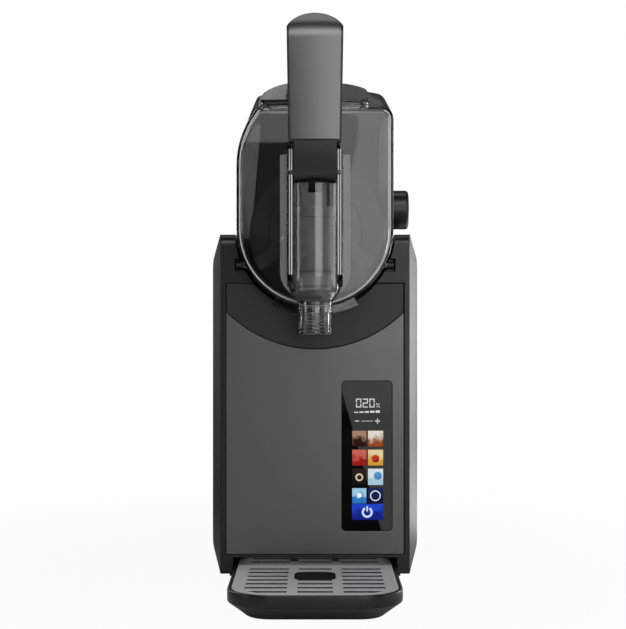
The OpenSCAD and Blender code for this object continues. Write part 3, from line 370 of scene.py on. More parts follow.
def brushed(name, colour, second, rough, along, line):
    """Metal with a grain: fine lines, line millimetres wide, drawn out 60 times along one axis, that
    change the tone and the gloss and stand a few hundredths of a millimetre high."""
    material, tree, main, place = shader(name, colour, rough, Metallic=1.0)
    scale = [1000 / line] * 3
    scale["xyz".index(along)] /= 60
    drawn = put(tree, "ShaderNodeMapping", {"Vector": place, "Scale": scale}).outputs["Vector"]
    lines = noise(tree, drawn, 1000.0, 3.0)
    wired(tree, main, Base_Color=mixed(tree, lines, colour, second),
          Roughness=ranged(tree, lines, 0.25, 0.75, rough - 0.06, rough + 0.06),
          Normal=bumped(tree, lines, 0.25, 0.03))
    return material


def clear_plastic(name, tint, rough, ior, clear=1.0):
    """Clear moulded plastic: light goes through and bends, and the gloss wanders with faint flow marks of
    about 25 mm; a lower clear share scatters the rest as a milky body colour."""
    material, tree, main, place = shader(name, tint, rough, Transmission_Weight=clear, IOR=ior)
    flow = noise(tree, place, 25.0, 2.0)
    wired(tree, main, Roughness=ranged(tree, flow, 0.3, 0.7, rough, rough + 0.03))
    return material


def metallic_paint(name, colour, second, rough, flake):
    """Metallic lacquer on plastic: fine aluminium flake, drawn coarser than the real 0.05 mm so that it
    shows, under a satin clear coat."""
    material, tree, main, place = shader(name, colour, rough, Metallic=0.7, Coat_Weight=0.15,
                                         Coat_Roughness=0.3)
    flakes, cloud = noise(tree, place, flake, 2.0), noise(tree, place, 90.0, 2.0)
    wired(tree, main, Base_Color=mixed(tree, flakes, colour, second),
          Roughness=ranged(tree, cloud, 0.3, 0.7, rough - 0.03, rough + 0.03),
          Normal=bumped(tree, flakes, 0.15, 0.02))
    return material


def lit_print(name, low, high, z0, z1, blot, strength=0.8):
    """A picture lit from behind the glass: two inks that run into each other up the tile, broken into
    blots of blot millimetres."""
    material, tree, main, place = shader(name, "#050505", 0.3, Emission_Strength=strength,
                                         Specular_IOR_Level=0.1)
    rise = ranged(tree, coordinate(tree, place, "Z"), z0 * MM, z1 * MM, -0.9, 0.9)
    stir = computed(tree, "MULTIPLY_ADD", noise(tree, place, blot, 3.0), 2.2, rise)
    wired(tree, main, Emission_Color=mixed(tree, ranged(tree, stir, 0.75, 1.45), low, high))
    return material


def topped_grille():
    """Silver-grey lacquer with a fine flake on the top face alone, above 21.3 mm; below it all is black,
    painted shade that darkens the slots' walls.
    """
    material, tree, main, place = shader("silver_lacquer_and_painted_slot_shade", "#b0b0b0", 0.5)
    face = ranged(tree, coordinate(tree, place, "Z"), 21.3 * MM, 21.4 * MM)
    flakes = noise(tree, place, 0.5, 2.0)
    silver = mixed(tree, flakes, "#d2d2d2", "#e0e0e0")
    # painted shade: black below the top face, so that the slots read dark
    wired(tree, main, Base_Color=mixed(tree, face, "#0c0c0c", silver),
          Roughness=ranged(tree, flakes, 0.0, 1.0, 0.45, 0.6))
    return material


def display_painted_reflection():
    """Gloss black glass: deep below left, paler above right, meeting in a slanting line where x plus 0.2826 z
    is constant; the paler field is a painted reflection."""
    material, tree, main, place = shader("gloss_black_display_glass_painted_reflection", "#0b0c0e", 0.05, IOR=1.52,
                                         Specular_IOR_Level=0.06)
    slant = computed(tree, "MULTIPLY_ADD", coordinate(tree, place, "Z"), 0.2826, coordinate(tree, place, "X"))
    # painted reflection: the paler grey above right of the slanting line
    wired(tree, main, Base_Color=mixed(tree, ranged(tree, slant, 0.0697, 0.0701), "#020202", "#4b4b4b"),
          Roughness=ranged(tree, noise(tree, place, 12.0, 4.0), 0.0, 1.0, 0.03, 0.09))
    return material


# Lacquered ABS: a satin grey whose flake brightens towards the light; the side covers take the same lacquer a
# little darker, as painted shade
PANEL_LACQUER = metallic_paint("titanium_grey_lacquer_on_abs", "#646464", "#6c6c6c", 0.33, 0.5)
COVER_LACQUER_PAINTED_SHADE = metallic_paint("grey_lacquer_painted_shade", "#585858", "#606060", 0.34, 0.5)
# ABS of frame, housing, rear and inner parts: black, its fine grain greys it in side light
FRAME_ABS = moulded("black_textured_abs", "#0e0e0e", "#131313", 0.32, 0.04, 0.5, 0.03)
# ABS of the bib: charcoal, duller than the frame
BIB_ABS = moulded("charcoal_satin_abs", "#202020", "#252525", 0.41, 0.04, 0.5, 0.02)
# Smooth ABS of the tray, lever and knob: black, a duller gloss than piano black
TRAY_ABS = moulded("black_semi_gloss_abs", "#161616", "#1b1b1b", 0.32, 0.05, 0.8, 0.01)
# Copolyester of the vessel and lid: smoked, clear and glossy
VESSEL_CLEAR = clear_plastic("smoked_copolyester", "#cfcfcf", 0.015, 1.55)
LID_CLEAR = clear_plastic("dark_smoked_copolyester", "#c0c0c0", 0.03, 1.55)
# Polycarbonate of the tap: clear, with polished faces
TAP_CLEAR = clear_plastic("clear_polycarbonate", "#ececec", 0.015, 1.58)
# The flare, satin where the mould left it; and pale milky strips on the rails' edges and the vessel's front
# edge, painted highlights that show paler than the faces
TAP_PAINTED_HIGHLIGHT = clear_plastic("pale_polycarbonate_painted_highlight", "#f4f4f4", 0.3, 1.58, 0.1)
TAP_FLARE = clear_plastic("satin_polycarbonate_flare", "#b8b8b8", 0.25, 1.58, 0.3)
VESSEL_PAINTED_HIGHLIGHT = clear_plastic("pale_copolyester_painted_highlight", "#ececec", 0.25, 1.55, 0.1)
# Polypropylene of the plunger: clear with a milky cast
PLUNGER_CLEAR = clear_plastic("milky_polypropylene", "#c8c8c8", 0.25, 1.49, 0.4)
# Anodised aluminium of the lever's cover: a soft grey sheen, brushed along its length
LEVER_METAL = brushed("brushed_anodised_aluminium", "#717171", "#797979", 0.38, "z", 0.35)
# Stainless steel of shaft, motor, screws, pins and spring: bright, with fine drawn lines
STEEL = brushed("drawn_stainless_steel", "#9c9c9c", "#adadad", 0.3, "y", 0.5)
# Steel of the freezing drum inside: a dull electropolish that hardly shows through the smoke
DRUM_STEEL = brushed("dull_electropolished_steel", "#5c5c5c", "#666666", 0.45, "y", 0.5)
# Copper of coil, drier and lines: warm and a little dull
COPPER = brushed("drawn_copper_tube", "#a8653c", "#b9744a", 0.35, "y", 0.6)
# Aluminium of the condenser's fins: pale, almost matt
ALUMINIUM = brushed("mill_aluminium_fins", "#a9a9a9", "#b8b8b8", 0.42, "z", 0.5)
# Nitrile rubber of feet, gland, mounts and seals: black without gloss
RUBBER = moulded("nitrile_rubber", "#121212", "#181818", 0.75, 0.08, 0.4, 0.03)
# Silicone of the plunger's seals: mid grey and satin
SILICONE = moulded("grey_silicone_rubber", "#7b7b7b", "#868686", 0.5, 0.05, 0.6, 0.02)
# Stoved enamel of compressor and lever's pin: glossy black with a faint orange peel
ENAMEL = moulded("black_stoved_enamel", "#141414", "#1a1a1a", 0.22, 0.04, 1.5, 0.04)
# Acetal of bushing and gears: the ivory of the undyed plastic
ACETAL = moulded("natural_acetal", "#d8d3c2", "#e2ddcd", 0.4, 0.05, 0.6, 0.02)
# Polypropylene of the auger and the plate behind it: greys that just show through the smoke
AUGER_PLASTIC = moulded("grey_food_grade_polypropylene", "#585858", "#606060", 0.4, 0.05, 0.8, 0.02)
PLATE_PLASTIC = moulded("dark_grey_polypropylene", "#4c4c4c", "#525252", 0.4, 0.05, 0.8, 0.02)
# Solder mask of the circuit boards: green with a low gloss
BOARD = moulded("green_solder_mask_on_glass_fibre", "#1d5a33", "#26683c", 0.3, 0.05, 2.0, 0.05)
# Lacquer on the top of grille and deck: silver grey, with the slots' walls black as painted shade
GRILLE_PLASTIC = topped_grille()
# Glass of the display: gloss black with a paler slanting field, a painted reflection
DISPLAY_GLASS = display_painted_reflection()
# Foam of the float: matt black
FLOAT_FOAM = moulded("black_closed_cell_foam", "#070707", "#0a0a0a", 0.7, 0.05, 0.6, 0.05)

# ---------- solids that keep their own shape, with their finish
KEPT = {
    STEEL: ("drive_shaft", "gear_motor", "rear_screws", "lid_hinge_pin", "crank_pin"),
    DRUM_STEEL: ("evaporator_drum",),
    COPPER: ("evaporator_coil", "filter_drier", "discharge_line", "suction_line"),
    ALUMINIUM: ("condenser",),
    ENAMEL: ("compressor", "lever_pivot_pin"),
    RUBBER: ("compressor_mounts", "shaft_seal", "vessel_gasket"),
    SILICONE: ("plunger_seals",),
    ACETAL: ("shaft_bushing", "drive_gear", "motor_pinion"),
    PLATE_PLASTIC: ("evaporator_plate",),
    BOARD: ("display_board", "power_board"),
    FRAME_ABS: ("base_pan", "cradle", "gearbox_case", "gearbox_cover", "fan_frame", "fan_rotor", "tray_dock",
                "vessel_lugs", "lock_cam"),
}
for finish, names in KEPT.items():
    for name in names:
        solid = frame["nodes"][name]
        solid.data.materials.clear()
        solid.data.materials.append(finish)

# ---------- body: solids whose edges are rounded, by a radius in millimetres
for node, radius, finish in (
        ("front_frame", 0.5, FRAME_ABS), ("front_panel", 0.4, PANEL_LACQUER), ("bib_panel", 0.8, BIB_ABS),
        ("rear_cover", 0.4, FRAME_ABS), ("upper_back", 1.2, FRAME_ABS), ("upper_housing", 0.4, FRAME_ABS),
        ("feet", 1.5, RUBBER), ("cord_gland", 0.6, RUBBER), ("display_glass", 0.3, DISPLAY_GLASS),
        ("drip_grille", 0.15, GRILLE_PLASTIC), ("drip_float", 1.0, FLOAT_FOAM),
        ("tap_plunger", 0.12, PLUNGER_CLEAR), ("lever_body", 0.5, TRAY_ABS), ("lock_knob", 0.0, TRAY_ABS)):
    softened(node, radius, finish)

ROUND_NORMALS = hull_normals(rounded_rect(2.0, 2.0, 0.5), step=7.5)
COVER_LONG, COVER_HIGH = REAR_COVER - BODY_FRONT, SHOULDER - UNDERSIDE
COVER_BEVEL, COVER_EASE = np.array([20.0, 8.0]), 2.5
LOUVRE, LOUVRE_Y, LOUVRE_Z = rounded_rect(5.0, 100.0, 2.0), 69.5 + 12.0 * np.arange(9), 115.0


def side_cover(name, side):
    """A side shell: rounded rectangles that step in and out along a bevel of 20 by 8 mm, with an easy
    curve into its flat, the same again 3 mm inside, and nine upright louvre slots."""
    t = np.linspace(0.0, 1.0, 7)[:, None]
    slope = COVER_BEVEL / math.hypot(*COVER_BEVEL)
    ease = ((1 - t) ** 2 * (COVER_BEVEL - COVER_EASE * slope) + 2 * t * (1 - t) * COVER_BEVEL
            + t ** 2 * (COVER_BEVEL + [COVER_EASE, 0.0]))
    outer = np.concatenate([[[0.0, 0.02], [0.3, 0.14]], ease])
    inner = [[3.0, 0.0], [23.0, 5.0], [27.0, 5.0]]
    rings = []
    for d, h in np.concatenate([outer[::-1], inner]):
        corner = rounded_rect(COVER_LONG - 2 * d, COVER_HIGH - 2 * d, 0.6 + 0.35 * d)
        flat = hull_points(corner, ROUND_NORMALS)
        rings.append(np.stack([side * (HALF_WIDTH + h) + 0 * flat[:, 0],
                               flat[:, 0] + (BODY_FRONT + REAR_COVER) / 2,
                               flat[:, 1] + (UNDERSIDE + SHOULDER) / 2], -1))
    cover = raw_object(name + "_shell", *stacked(rings))
    slot = hull_points(LOUVRE, ROUND_NORMALS)
    for y in LOUVRE_Y:
        ends = [np.stack([np.full(len(slot), x * side), slot[:, 0] + y, slot[:, 1] + LOUVRE_Z], -1)
                for x in (HALF_WIDTH - 1.0, HALF_WIDTH + 10.0)]
        cut_out(cover, *stacked(ends))
    fitted(smooth(cover), COVER_LACQUER_PAINTED_SHADE, name)


side_cover("side_cover_left", -1.0)
side_cover("side_cover_right", 1.0)

# ---------- drip tray
TRAY_DISCS = [(33.5, -177.0, 34.0), (-33.5, -177.0, 34.0), (-45.5, -63.0, 22.0), (45.5, -63.0, 22.0)]
FOOT_DISCS = [(33.5, -177.0, 19.0), (-33.5, -177.0, 19.0), (-45.5, -63.0, 7.0), (45.5, -63.0, 7.0)]
TRAY_NORMALS = hull_normals(TRAY_DISCS, FOOT_DISCS, step=3.0)


def tray_piece():
    """The bowl of the tray: one section of (share from foot to rim, inset, height) carried round the
    outline, outside up from the foot, over the rim, and down inside to the floor."""
    section = np.array([(0, 1.2, 0.5), (0, 0.5, 0.55), (0, 0.1, 0.8), (0.05, 0.0, 1.2), (0.5, 0.0, 6.4),
                        (0.94, 0.0, 11.2), (0.985, 0.0, 11.9), (1, 0.0, 12.8), (1, 0.0, 20.3),
                        (1, 0.15, 20.9), (1, 0.5, 21.3), (1, 1.0, 21.5), (1, 2.3, 21.5),
                        (1, 2.75, 21.35), (1, 3.0, 20.9), (1, 3.0, 19.2), (1, 3.2, 19.0), (1, 6.4, 19.0),
                        (1, 6.6, 18.7), (1, 6.6, 13.0), (0.1, 2.0, 4.2), (0.0, 3.0, 3.5)])
    share, inset, height = section.T[:, :, None]
    rim = np.stack([hull_points(TRAY_DISCS, TRAY_NORMALS, i) for i in inset[:, 0]])
    foot = np.stack([hull_points(FOOT_DISCS, TRAY_NORMALS, i) for i in inset[:, 0]])
    flat = foot + share[:, :, None] * (rim - foot)
    rings = np.stack([flat[..., 0], flat[..., 1], height + 0 * flat[..., 0]], -1)
    tray = raw_object("drip_tray_bowl", *stacked(rings))
    runners = [(-68.7, -67.0, 15.5, 17.5), (67.0, 68.7, 15.5, 17.5)]
    joined(tray, *boxes(runners, -75.0, -65.0))
    fitted(smooth(tray, 32.0), TRAY_ABS, "drip_tray")


def tray_deck():
    """The slotted deck behind the grille, flush with it, and the two catches that stand on it."""
    flat, low = (hull_points(TRAY_DISCS, TRAY_NORMALS, i) for i in (3.0, 3.3))
    rings = [np.stack([p[:, 0], np.maximum(p[:, 1], front), z + 0 * p[:, 0]], -1)
             for p, front, z in ((flat, -91.7, 16.6), (flat, -91.7, 21.2), (low, -91.4, 21.5))]
    deck = raw_object("drip_tray_deck", *stacked(rings))
    for y in (-53.8, -69.4):
        for x in ((-54.0, -21.5), (-13.5, 13.5), (21.5, 54.0)):
            cut_out(deck, *boxes([(*x, 15.0, 23.0)], y - 3.0, y + 3.0))
    fitted(smooth(deck), GRILLE_PLASTIC, body="tray", slot="grille_grey")
    catches = raw_object("drip_tray_catches", *boxes([(-20.7, -14.3, 21.4, 24.0), (14.3, 20.7, 21.4, 24.0)],
                                                     -67.0, -49.0))
    fitted(rounded_edges(smooth(catches), 0.5), TRAY_ABS, body="tray", slot="black_plastic")


tray_piece()
tray_deck()

# ---------- lever
LEVER_FRONT, LEVER_BEND_Y, LEVER_BEND_Z = -165.5, -145.0, 446.5
LEVER_LOW, LEVER_SIDE_TOP, LEVER_LEAN = 367.5, 456.5, math.radians(50.0)


def lever_cover():
    """The brushed cover: a plate bent back 50 degrees on a radius of 20.5 mm; x is the share across times
    the half-width, z runs up to a crown that is an arc of 22.9 mm, and y follows the bend at that height,
    less a swell across it that falls by 1 mm to the edges as the square of the share."""
    across = np.linspace(-1.0, 1.0, 33)[None, :]
    along = np.concatenate([np.linspace(0.0, 0.72, 10)[:-1], np.linspace(0.72, 1.0, 40)])[:, None]
    half_low, half_top, arc, swelling, gauge = 19.15, 20.65, 22.9, 1.0, 1.3
    top = LEVER_SIDE_TOP + np.sqrt(arc ** 2 - (across * half_top) ** 2) - math.sqrt(arc ** 2 - half_top ** 2)
    z = LEVER_LOW + along * (top - LEVER_LOW)
    x = across * np.interp(z, [LEVER_LOW, LEVER_SIDE_TOP], [half_low, half_top])
    bend = LEVER_BEND_Y - LEVER_FRONT
    lean = np.arcsin(np.clip((z - LEVER_BEND_Z) / bend, 0.0, math.sin(LEVER_LEAN)))
    past = np.maximum(0.0, z - LEVER_BEND_Z - bend * math.sin(LEVER_LEAN))
    y = LEVER_BEND_Y - bend * np.cos(lean) + past * math.tan(LEVER_LEAN)
    swell = swelling * across ** 2
    front = np.stack([x, y + swell * np.cos(lean), z - swell * np.sin(lean)], -1)
    back = front + gauge * np.stack([0 * x, np.cos(lean), -np.sin(lean)], -1)
    plate = raw_object("lever_cover_plate", *stacked(np.concatenate([front, back[:, ::-1]], 1)))
    fitted(rounded_edges(smooth(plate, 40.0), 0.3, 40.0), LEVER_METAL, "lever_cover")


def lever_spring():
    """The return spring: a wire of 1 mm wound four turns of radius 4.9 mm, 1.6 mm apart, about the pivot."""
    turns, pitch, coil, wire, start = 4, 1.6, 4.9, 0.5, 8.0
    turn = np.linspace(0.0, 2 * math.pi * turns, 145)[:, None]
    round_wire = round_angles(12)[None, :]
    radius = coil + wire * np.cos(round_wire)
    x = start + pitch * turn / (2 * math.pi) + wire * np.sin(round_wire)
    rings = np.stack([x, PIVOT_Y + radius * np.cos(turn), PIVOT_Z + radius * np.sin(turn)], -1)
    fitted(smooth(raw_object("lever_spring_wire", *stacked(rings)), 40.0), STEEL, "lever_spring")


lever_cover()
lever_spring()

# ---------- auger and tap
AUGER_FRONT, AUGER_REAR, AUGER_TURNS = -96.0, 17.0, 2.25


def auger_piece():
    """The auger: a rounded band wound 2.25 turns round the drum, a hub, three spokes and a rear ring."""
    u = np.linspace(0.0, 1.0, 190)[:, None]
    band = rounded_steps([(38.9, -2.0), (57.8, -2.0), (57.8, 2.0), (38.9, 2.0)], 1.4)
    turn = 2 * math.pi * AUGER_TURNS * u
    y = AUGER_FRONT + (AUGER_REAR - AUGER_FRONT) * u + band[:, 1]
    rings = np.stack([band[:, 0] * np.sin(turn), y, AXIS_Z + band[:, 0] * np.cos(turn)], -1)
    auger = raw_object("auger_wound", *stacked(rings))
    spoke = hull_points(rounded_rect(12.0, 6.0, 1.4), ROUND_NORMALS)
    for a in np.radians([0.0, 120.0, 240.0]):
        ends = [np.stack([spoke[:, 0] * np.cos(a) + r * np.sin(a), spoke[:, 1] + AUGER_FRONT,
                          AXIS_Z + r * np.cos(a) - spoke[:, 0] * np.sin(a)], -1) for r in (10.0, 56.4)]
        joined(auger, *stacked(ends))
    hub = rounded_steps([(5.0, -102.0), (14.0, -102.0), (14.0, -93.0), (5.0, -93.0)], 1.2)
    joined(auger, *turned(hub, (0.0, 0.0, AXIS_Z), "y", 64))
    ring = rounded_steps([(40.1, 14.5), (56.6, 14.5), (56.6, 19.5), (40.1, 19.5)], 1.0)
    joined(auger, *turned(ring, (0.0, 0.0, AXIS_Z), "y"))
    fitted(smooth(auger, 32.0), AUGER_PLASTIC, "auger")


def nozzle_piece():
    """The nozzle: a sleeve turned round the tap's axis, with five fine ribs cut by a cosine 2.6 mm long."""
    z = np.linspace(216.6, 231.0, 64)
    ribs = 14.0 - 0.35 * np.clip(np.cos(2 * math.pi * (z - 218.25) / 2.6), 0.0, 1.0) ** 2
    outer = np.stack([ribs, z], -1)
    foot = [(10.5, 215.9), (10.9, 215.4), (11.5, 215.3), (13.1, 215.3), (13.7, 215.5), (14.0, 216.0)]
    head = [(14.0, 231.9), (13.8, 232.3), (12.5, 232.4), (12.5, 237.2), (12.2, 237.5), (10.5, 237.5)]
    sleeve = turned(np.concatenate([foot, outer, head]), (0.0, TAP_Y, 0.0), "z")
    fitted(smooth(raw_object("tap_nozzle_sleeve", *sleeve), 40.0), TAP_CLEAR, "tap_nozzle")


def column_piece():
    """The clear column: a tube turned round the tap's axis that swells from the spout to 22.4 mm, its
    front half cut away at the lever, with two rails down its front, and cut flat against the vessel."""
    wall = [(14.0, 232.8), (14.0, 240.6), (14.3, 242.0), (15.5, 243.3), (18.0, 245.8), (20.1, 250.0),
            (21.5, 255.5), (22.2, 260.0), (22.4, 264.0), (22.4, 364.0), (17.0, 364.0), (17.0, 250.0),
            (12.6, 243.0), (12.6, 232.8), (12.9, 232.5), (13.7, 232.5)]
    column = raw_object("tap_column_tube", *turned(wall, (0.0, TAP_Y, 0.0), "z"))
    cut_out(column, *boxes([(-30.0, 30.0, 334.0, 370.0)], -170.0, TAP_Y))
    for side in (-1.0, 1.0):
        rail = hull_points(rounded_rect(4.6, 20.0, 0.8), ROUND_NORMALS) + (19.7 * side, -147.0)
        joined(column, *stacked([np.stack([rail[:, 0], np.maximum(rail[:, 1], y), z + 0 * rail[:, 0]], -1)
                                 for y, z in ((-147.0, 253.0), (-157.0, 261.8), (-157.0, 363.7))]))
    joined(column, *boxes([(-20.0, 20.0, 248.0, 363.5)], -120.6, -118.0))
    cut_out(column, *boxes([(-50.0, 50.0, 200.0, 400.0)], VESSEL_FRONT, -60.0))
    cut_out(column, *boxes([PORT], TAP_Y, -110.0))
    hole = hull_points([(PIVOT_Y, PIVOT_Z, 3.0)], round_angles(48))
    cut_out(column, *stacked([np.stack([np.full(48, x), hole[:, 0], hole[:, 1]], -1) for x in (-30.0, 30.0)]))
    fitted(smooth(column), TAP_CLEAR, "tap_column")


def column_painted_highlights():
    """Pale strips on the front edges of the column's two rails, painted highlights: two lines on each, open
    where the lever's pin crosses them."""
    rows = [(*x, *z) for x in ((-20.4, -19.7), (-18.9, -17.8), (17.8, 18.9), (19.7, 20.4))
            for z in ((262.3, 340.7), (344.3, 360.8))]
    edges = raw_object("tap_column_edges", *boxes(rows, -157.5, -156.4))
    fitted(rounded_edges(smooth(edges), 0.25), TAP_PAINTED_HIGHLIGHT, body=BODY_OF["tap_column"], slot="tap_clear")


def column_flare(name, side):
    """The flare from the column to the vessel's front: a hollow curve (reach, y) carried down the side and
    round 48 degrees of an ellipse whose upright radius is 4.3 mm smaller."""
    section = np.array([(20.4, -118.5), (28.5, -118.5), (28.5, -119.3), (26.6, -119.7), (25.0, -120.6),
                        (23.8, -122.0), (23.1, -124.0), (22.8, -127.0), (20.4, -127.0)])
    reach, y = section.T[:, None, :]
    turn = np.radians(np.concatenate([[0.0], np.linspace(0.0, 48.0, 17)]))[:, None]
    foot = np.where(np.arange(18) == 0, 361.0, 266.0)[:, None]
    rings = np.stack([side * reach * np.cos(turn), y + 0 * turn, foot - (reach - 4.3) * np.sin(turn)], -1)
    flare = raw_object("tap_column_flare_" + name, *stacked(rings))
    fitted(smooth(flare, 40.0), TAP_FLARE, body=BODY_OF["tap_column"], slot="tap_clear")


auger_piece()
column_piece()
column_painted_highlights()
column_flare("left", -1.0)
column_flare("right", 1.0)
nozzle_piece()

# ---------- display: what lights up behind the glass, as thin plates on its face
LIT_FACE, LIT_BACK = GLASS_FRONT - 0.1, GLASS_FRONT + 0.1
MARK_FACE = LIT_FACE - 0.1  # marks stand in front of the tiles


def lit(name, points, faces, material):
    """A lit shape on the display, part of the machine's body."""
    made = raw_object("display_" + name, points, faces)
    fitted(smooth(made), material, body="machine", slot="display_black")


def disc(x, z, radius):
    """A thin round plate on the display."""
    edge = hull_points([(x, z, radius)], round_angles(40))
    return stacked([np.stack([edge[:, 0], np.full(40, y), edge[:, 1]], -1) for y in (MARK_FACE, LIT_BACK)])


def band(x, z, radius, width, gap=0.0):
    """A thin ring on the display, open at its top by a gap in degrees."""
    inner, outer = radius - width / 2, radius + width / 2
    edge = [(inner, MARK_FACE), (outer, MARK_FACE), (outer, LIT_BACK), (inner, LIT_BACK)]
    r, y = np.array(edge).T[:, None, :]
    a = np.radians(np.linspace(90.0 + gap / 2, 450.0 - gap / 2, 61))[:, None]
    rings = np.stack([x + r * np.cos(a), y + 0 * a, z + r * np.sin(a)], -1)
    return stacked(rings if gap else rings[:-1], wrap_rows=not gap)


def segments(digit, x, z=154.0, width=4.3, height=7.3, bar=0.75):
    """The bars (x0, x1, z0, z1) of a seven-segment numeral, with a hair's breadth between them."""
    right, top, middle, gap = x + width, z + height, z + height / 2, bar + 0.1
    low, high = (z + gap, middle - gap / 2), (middle + gap / 2, top - gap)
    plates = {"a": (x, right, top - bar, top), "b": (right - bar, right, *high),
              "c": (right - bar, right, *low), "d": (x, right, z, z + bar), "e": (x, x + bar, *low),
              "f": (x, x + bar, *high), "g": (x, right, middle - bar / 2, middle + bar / 2)}
    return [plates[s] for s in {"0": "abcdef", "2": "abged"}[digit]]


LIT_WHITE = lit_print("lit_white_segments", "#e4e4e4", "#f4f4f4", 140.0, 165.0, 2.0, 0.85)
# The number, its per cent sign, the rising bars of the level, and a minus, a line and a plus
figures = segments("0", 34.3) + segments("2", 39.9) + segments("0", 45.5)
figures += [(51.0, 51.9, 156.4, 157.3), (53.3, 54.2, 154.0, 154.9), (51.5, 52.1, 154.0, 155.0),
            (52.3, 52.9, 155.1, 156.2), (53.1, 53.7, 156.3, 157.3)]
figures += [(32.6 + 4.5 * i, 36.1 + 4.5 * i, 149.5, 150.3 + 0.3 * i) for i in range(5)]
figures += [(33.4, 36.8, 142.2, 143.0), (38.8, 48.5, 142.4, 142.8), (50.1, 54.3, 142.2, 143.0),
            (51.8, 52.6, 140.5, 142.1), (51.8, 52.6, 143.1, 144.7)]
lit("figures", *boxes(figures, LIT_FACE, LIT_BACK), LIT_WHITE)

# Each tile: its column and row, the inks of its lower and upper half, and the size of its blots
COLUMNS = ((31.1, 42.9), (44.3, 56.9))
ROWS = ((121.3, 134.5), (105.5, 118.7), (89.2, 102.8), (73.8, 86.5))
TILES = (("amber", 1, 0, "#9a4a12", "#f4ece2", 5.0), ("claret", 0, 0, "#2a0806", "#b08a70", 5.0),
         ("lemon", 1, 1, "#e0a83c", "#f4e2a8", 6.0), ("berry", 0, 1, "#a2160f", "#d8685c", 3.5),
         ("mint", 1, 2, "#b4dcec", "#eaf6fa", 6.0), ("cocoa", 0, 2, "#0c0908", "#2a1d16", 6.0),
         ("night", 1, 3, "#060c3c", "#12265c", 6.0), ("frost", 0, 3, "#2f7fcf", "#a8dcf6", 4.0))
for name, column, row, low, high, blot in TILES:
    box = (*COLUMNS[column], *ROWS[row])
    lit("tile_" + name, *boxes([box], LIT_FACE, LIT_BACK),
        lit_print("lit_print_" + name, low, high, box[2], box[3], blot))
lit("tile_power", *boxes([(30.9, 56.8, 60.2, 73.3)], LIT_FACE, LIT_BACK),
    lit_print("lit_print_power", "#0a1f8c", "#1d48d8", 60.2, 73.3, 9.0))
LIT_RED = lit_print("lit_print_red", "#a01c14", "#d8442c", 105.0, 118.0, 3.0)
LIT_CREAM = lit_print("lit_print_cream", "#d9c8a6", "#f2e8d2", 89.0, 103.0, 3.0)
LIT_BLUE = lit_print("lit_print_blue", "#2a6cae", "#69aede", 89.0, 103.0, 3.0)
LIT_ICE = lit_print("lit_print_ice", "#cfe4ff", "#f4faff", 60.0, 87.0, 3.0, 0.9)
lit("lemon_dot", *disc(50.6, 111.2, 3.2), LIT_RED)
lit("mint_drop", *disc(52.4, 97.0, 3.4), LIT_BLUE)
lit("cocoa_arch", *band(37.0, 95.6, 2.6, 1.3), LIT_CREAM)
lit("night_ring", *band(50.4, 80.2, 4.0, 0.8), LIT_ICE)
lit("frost_dot", *disc(37.0, 80.6, 2.0), LIT_ICE)
lit("power_ring", *band(43.6, 66.4, 3.7, 1.8, 60.0), LIT_ICE)
lit("power_bar", *boxes([(43.0, 44.2, 67.0, 71.6)], MARK_FACE, LIT_BACK), LIT_ICE)

# ---------- vessel: a loft from the front outline to the rear rim
BOW = np.radians(np.arange(0.0, 31.0, 5.0))
FRONT_DISCS = [(0.0, AXIS_Z, 64.0), (55.0, 391.0, 9.0), (-44.0, 394.0, 6.0)]
FRONT_DISCS += [(10.0 - 68.0 * math.cos(a), 353.0 + 68.0 * math.sin(a), 6.0) for a in BOW]
REAR_DISCS = [(0.0, AXIS_Z, 65.5), (-15.0, 413.2, 30.0), (15.0, 413.2, 30.0), (55.0, 425.5, 10.5),
              (-48.4, 428.0, 6.0)]
MOUTH_DISCS = [(35.5, 24.0, 10.0), (-35.5, 24.0, 10.0), (7.5, 94.0, 38.0), (-7.5, 94.0, 38.0)]
MOUTH_NORMALS = hull_normals(MOUTH_DISCS)
VESSEL_NORMALS = hull_normals(FRONT_DISCS, REAR_DISCS)


def vessel_rings(stations):
    """Rings of the vessel at stations (y, share of the way from front to rear, inset): the two outlines
    mixed in that share, point by point along the same normals."""
    y, share, inset = np.asarray(stations, float).T[:, :, None]
    front = np.stack([hull_points(FRONT_DISCS, VESSEL_NORMALS, i) for i in inset[:, 0]])
    rear = np.stack([hull_points(REAR_DISCS, VESSEL_NORMALS, i) for i in inset[:, 0]])
    flat = front + share[:, :, None] * (rear - front)
    return np.stack([flat[..., 0], y + 0 * flat[..., 0], flat[..., 1]], -1)


def over_crown(x, s, n):
    """A point of the neck or lid: as on the flat slope, less a fall beyond 22 mm from the middle that grows
    with the square of that distance and with s, to 6.5 mm at the left rear corner and 2.5 at the right."""
    fall = np.where(x < 0, 6.5, 2.5) * (np.clip(np.abs(x) - 22.0, 0.0, None) / 23.5) ** 2 * s / 132.0
    return up_the_slope(x, s, n - fall)


def on_slope(plates, low, high):
    """Flat plates (x0, x1, s0, s1) on the sloping top, from low to high out of it."""
    points, faces = boxes(plates, low, high)
    return up_the_slope(points[:, 0], points[:, 2], points[:, 1]), faces


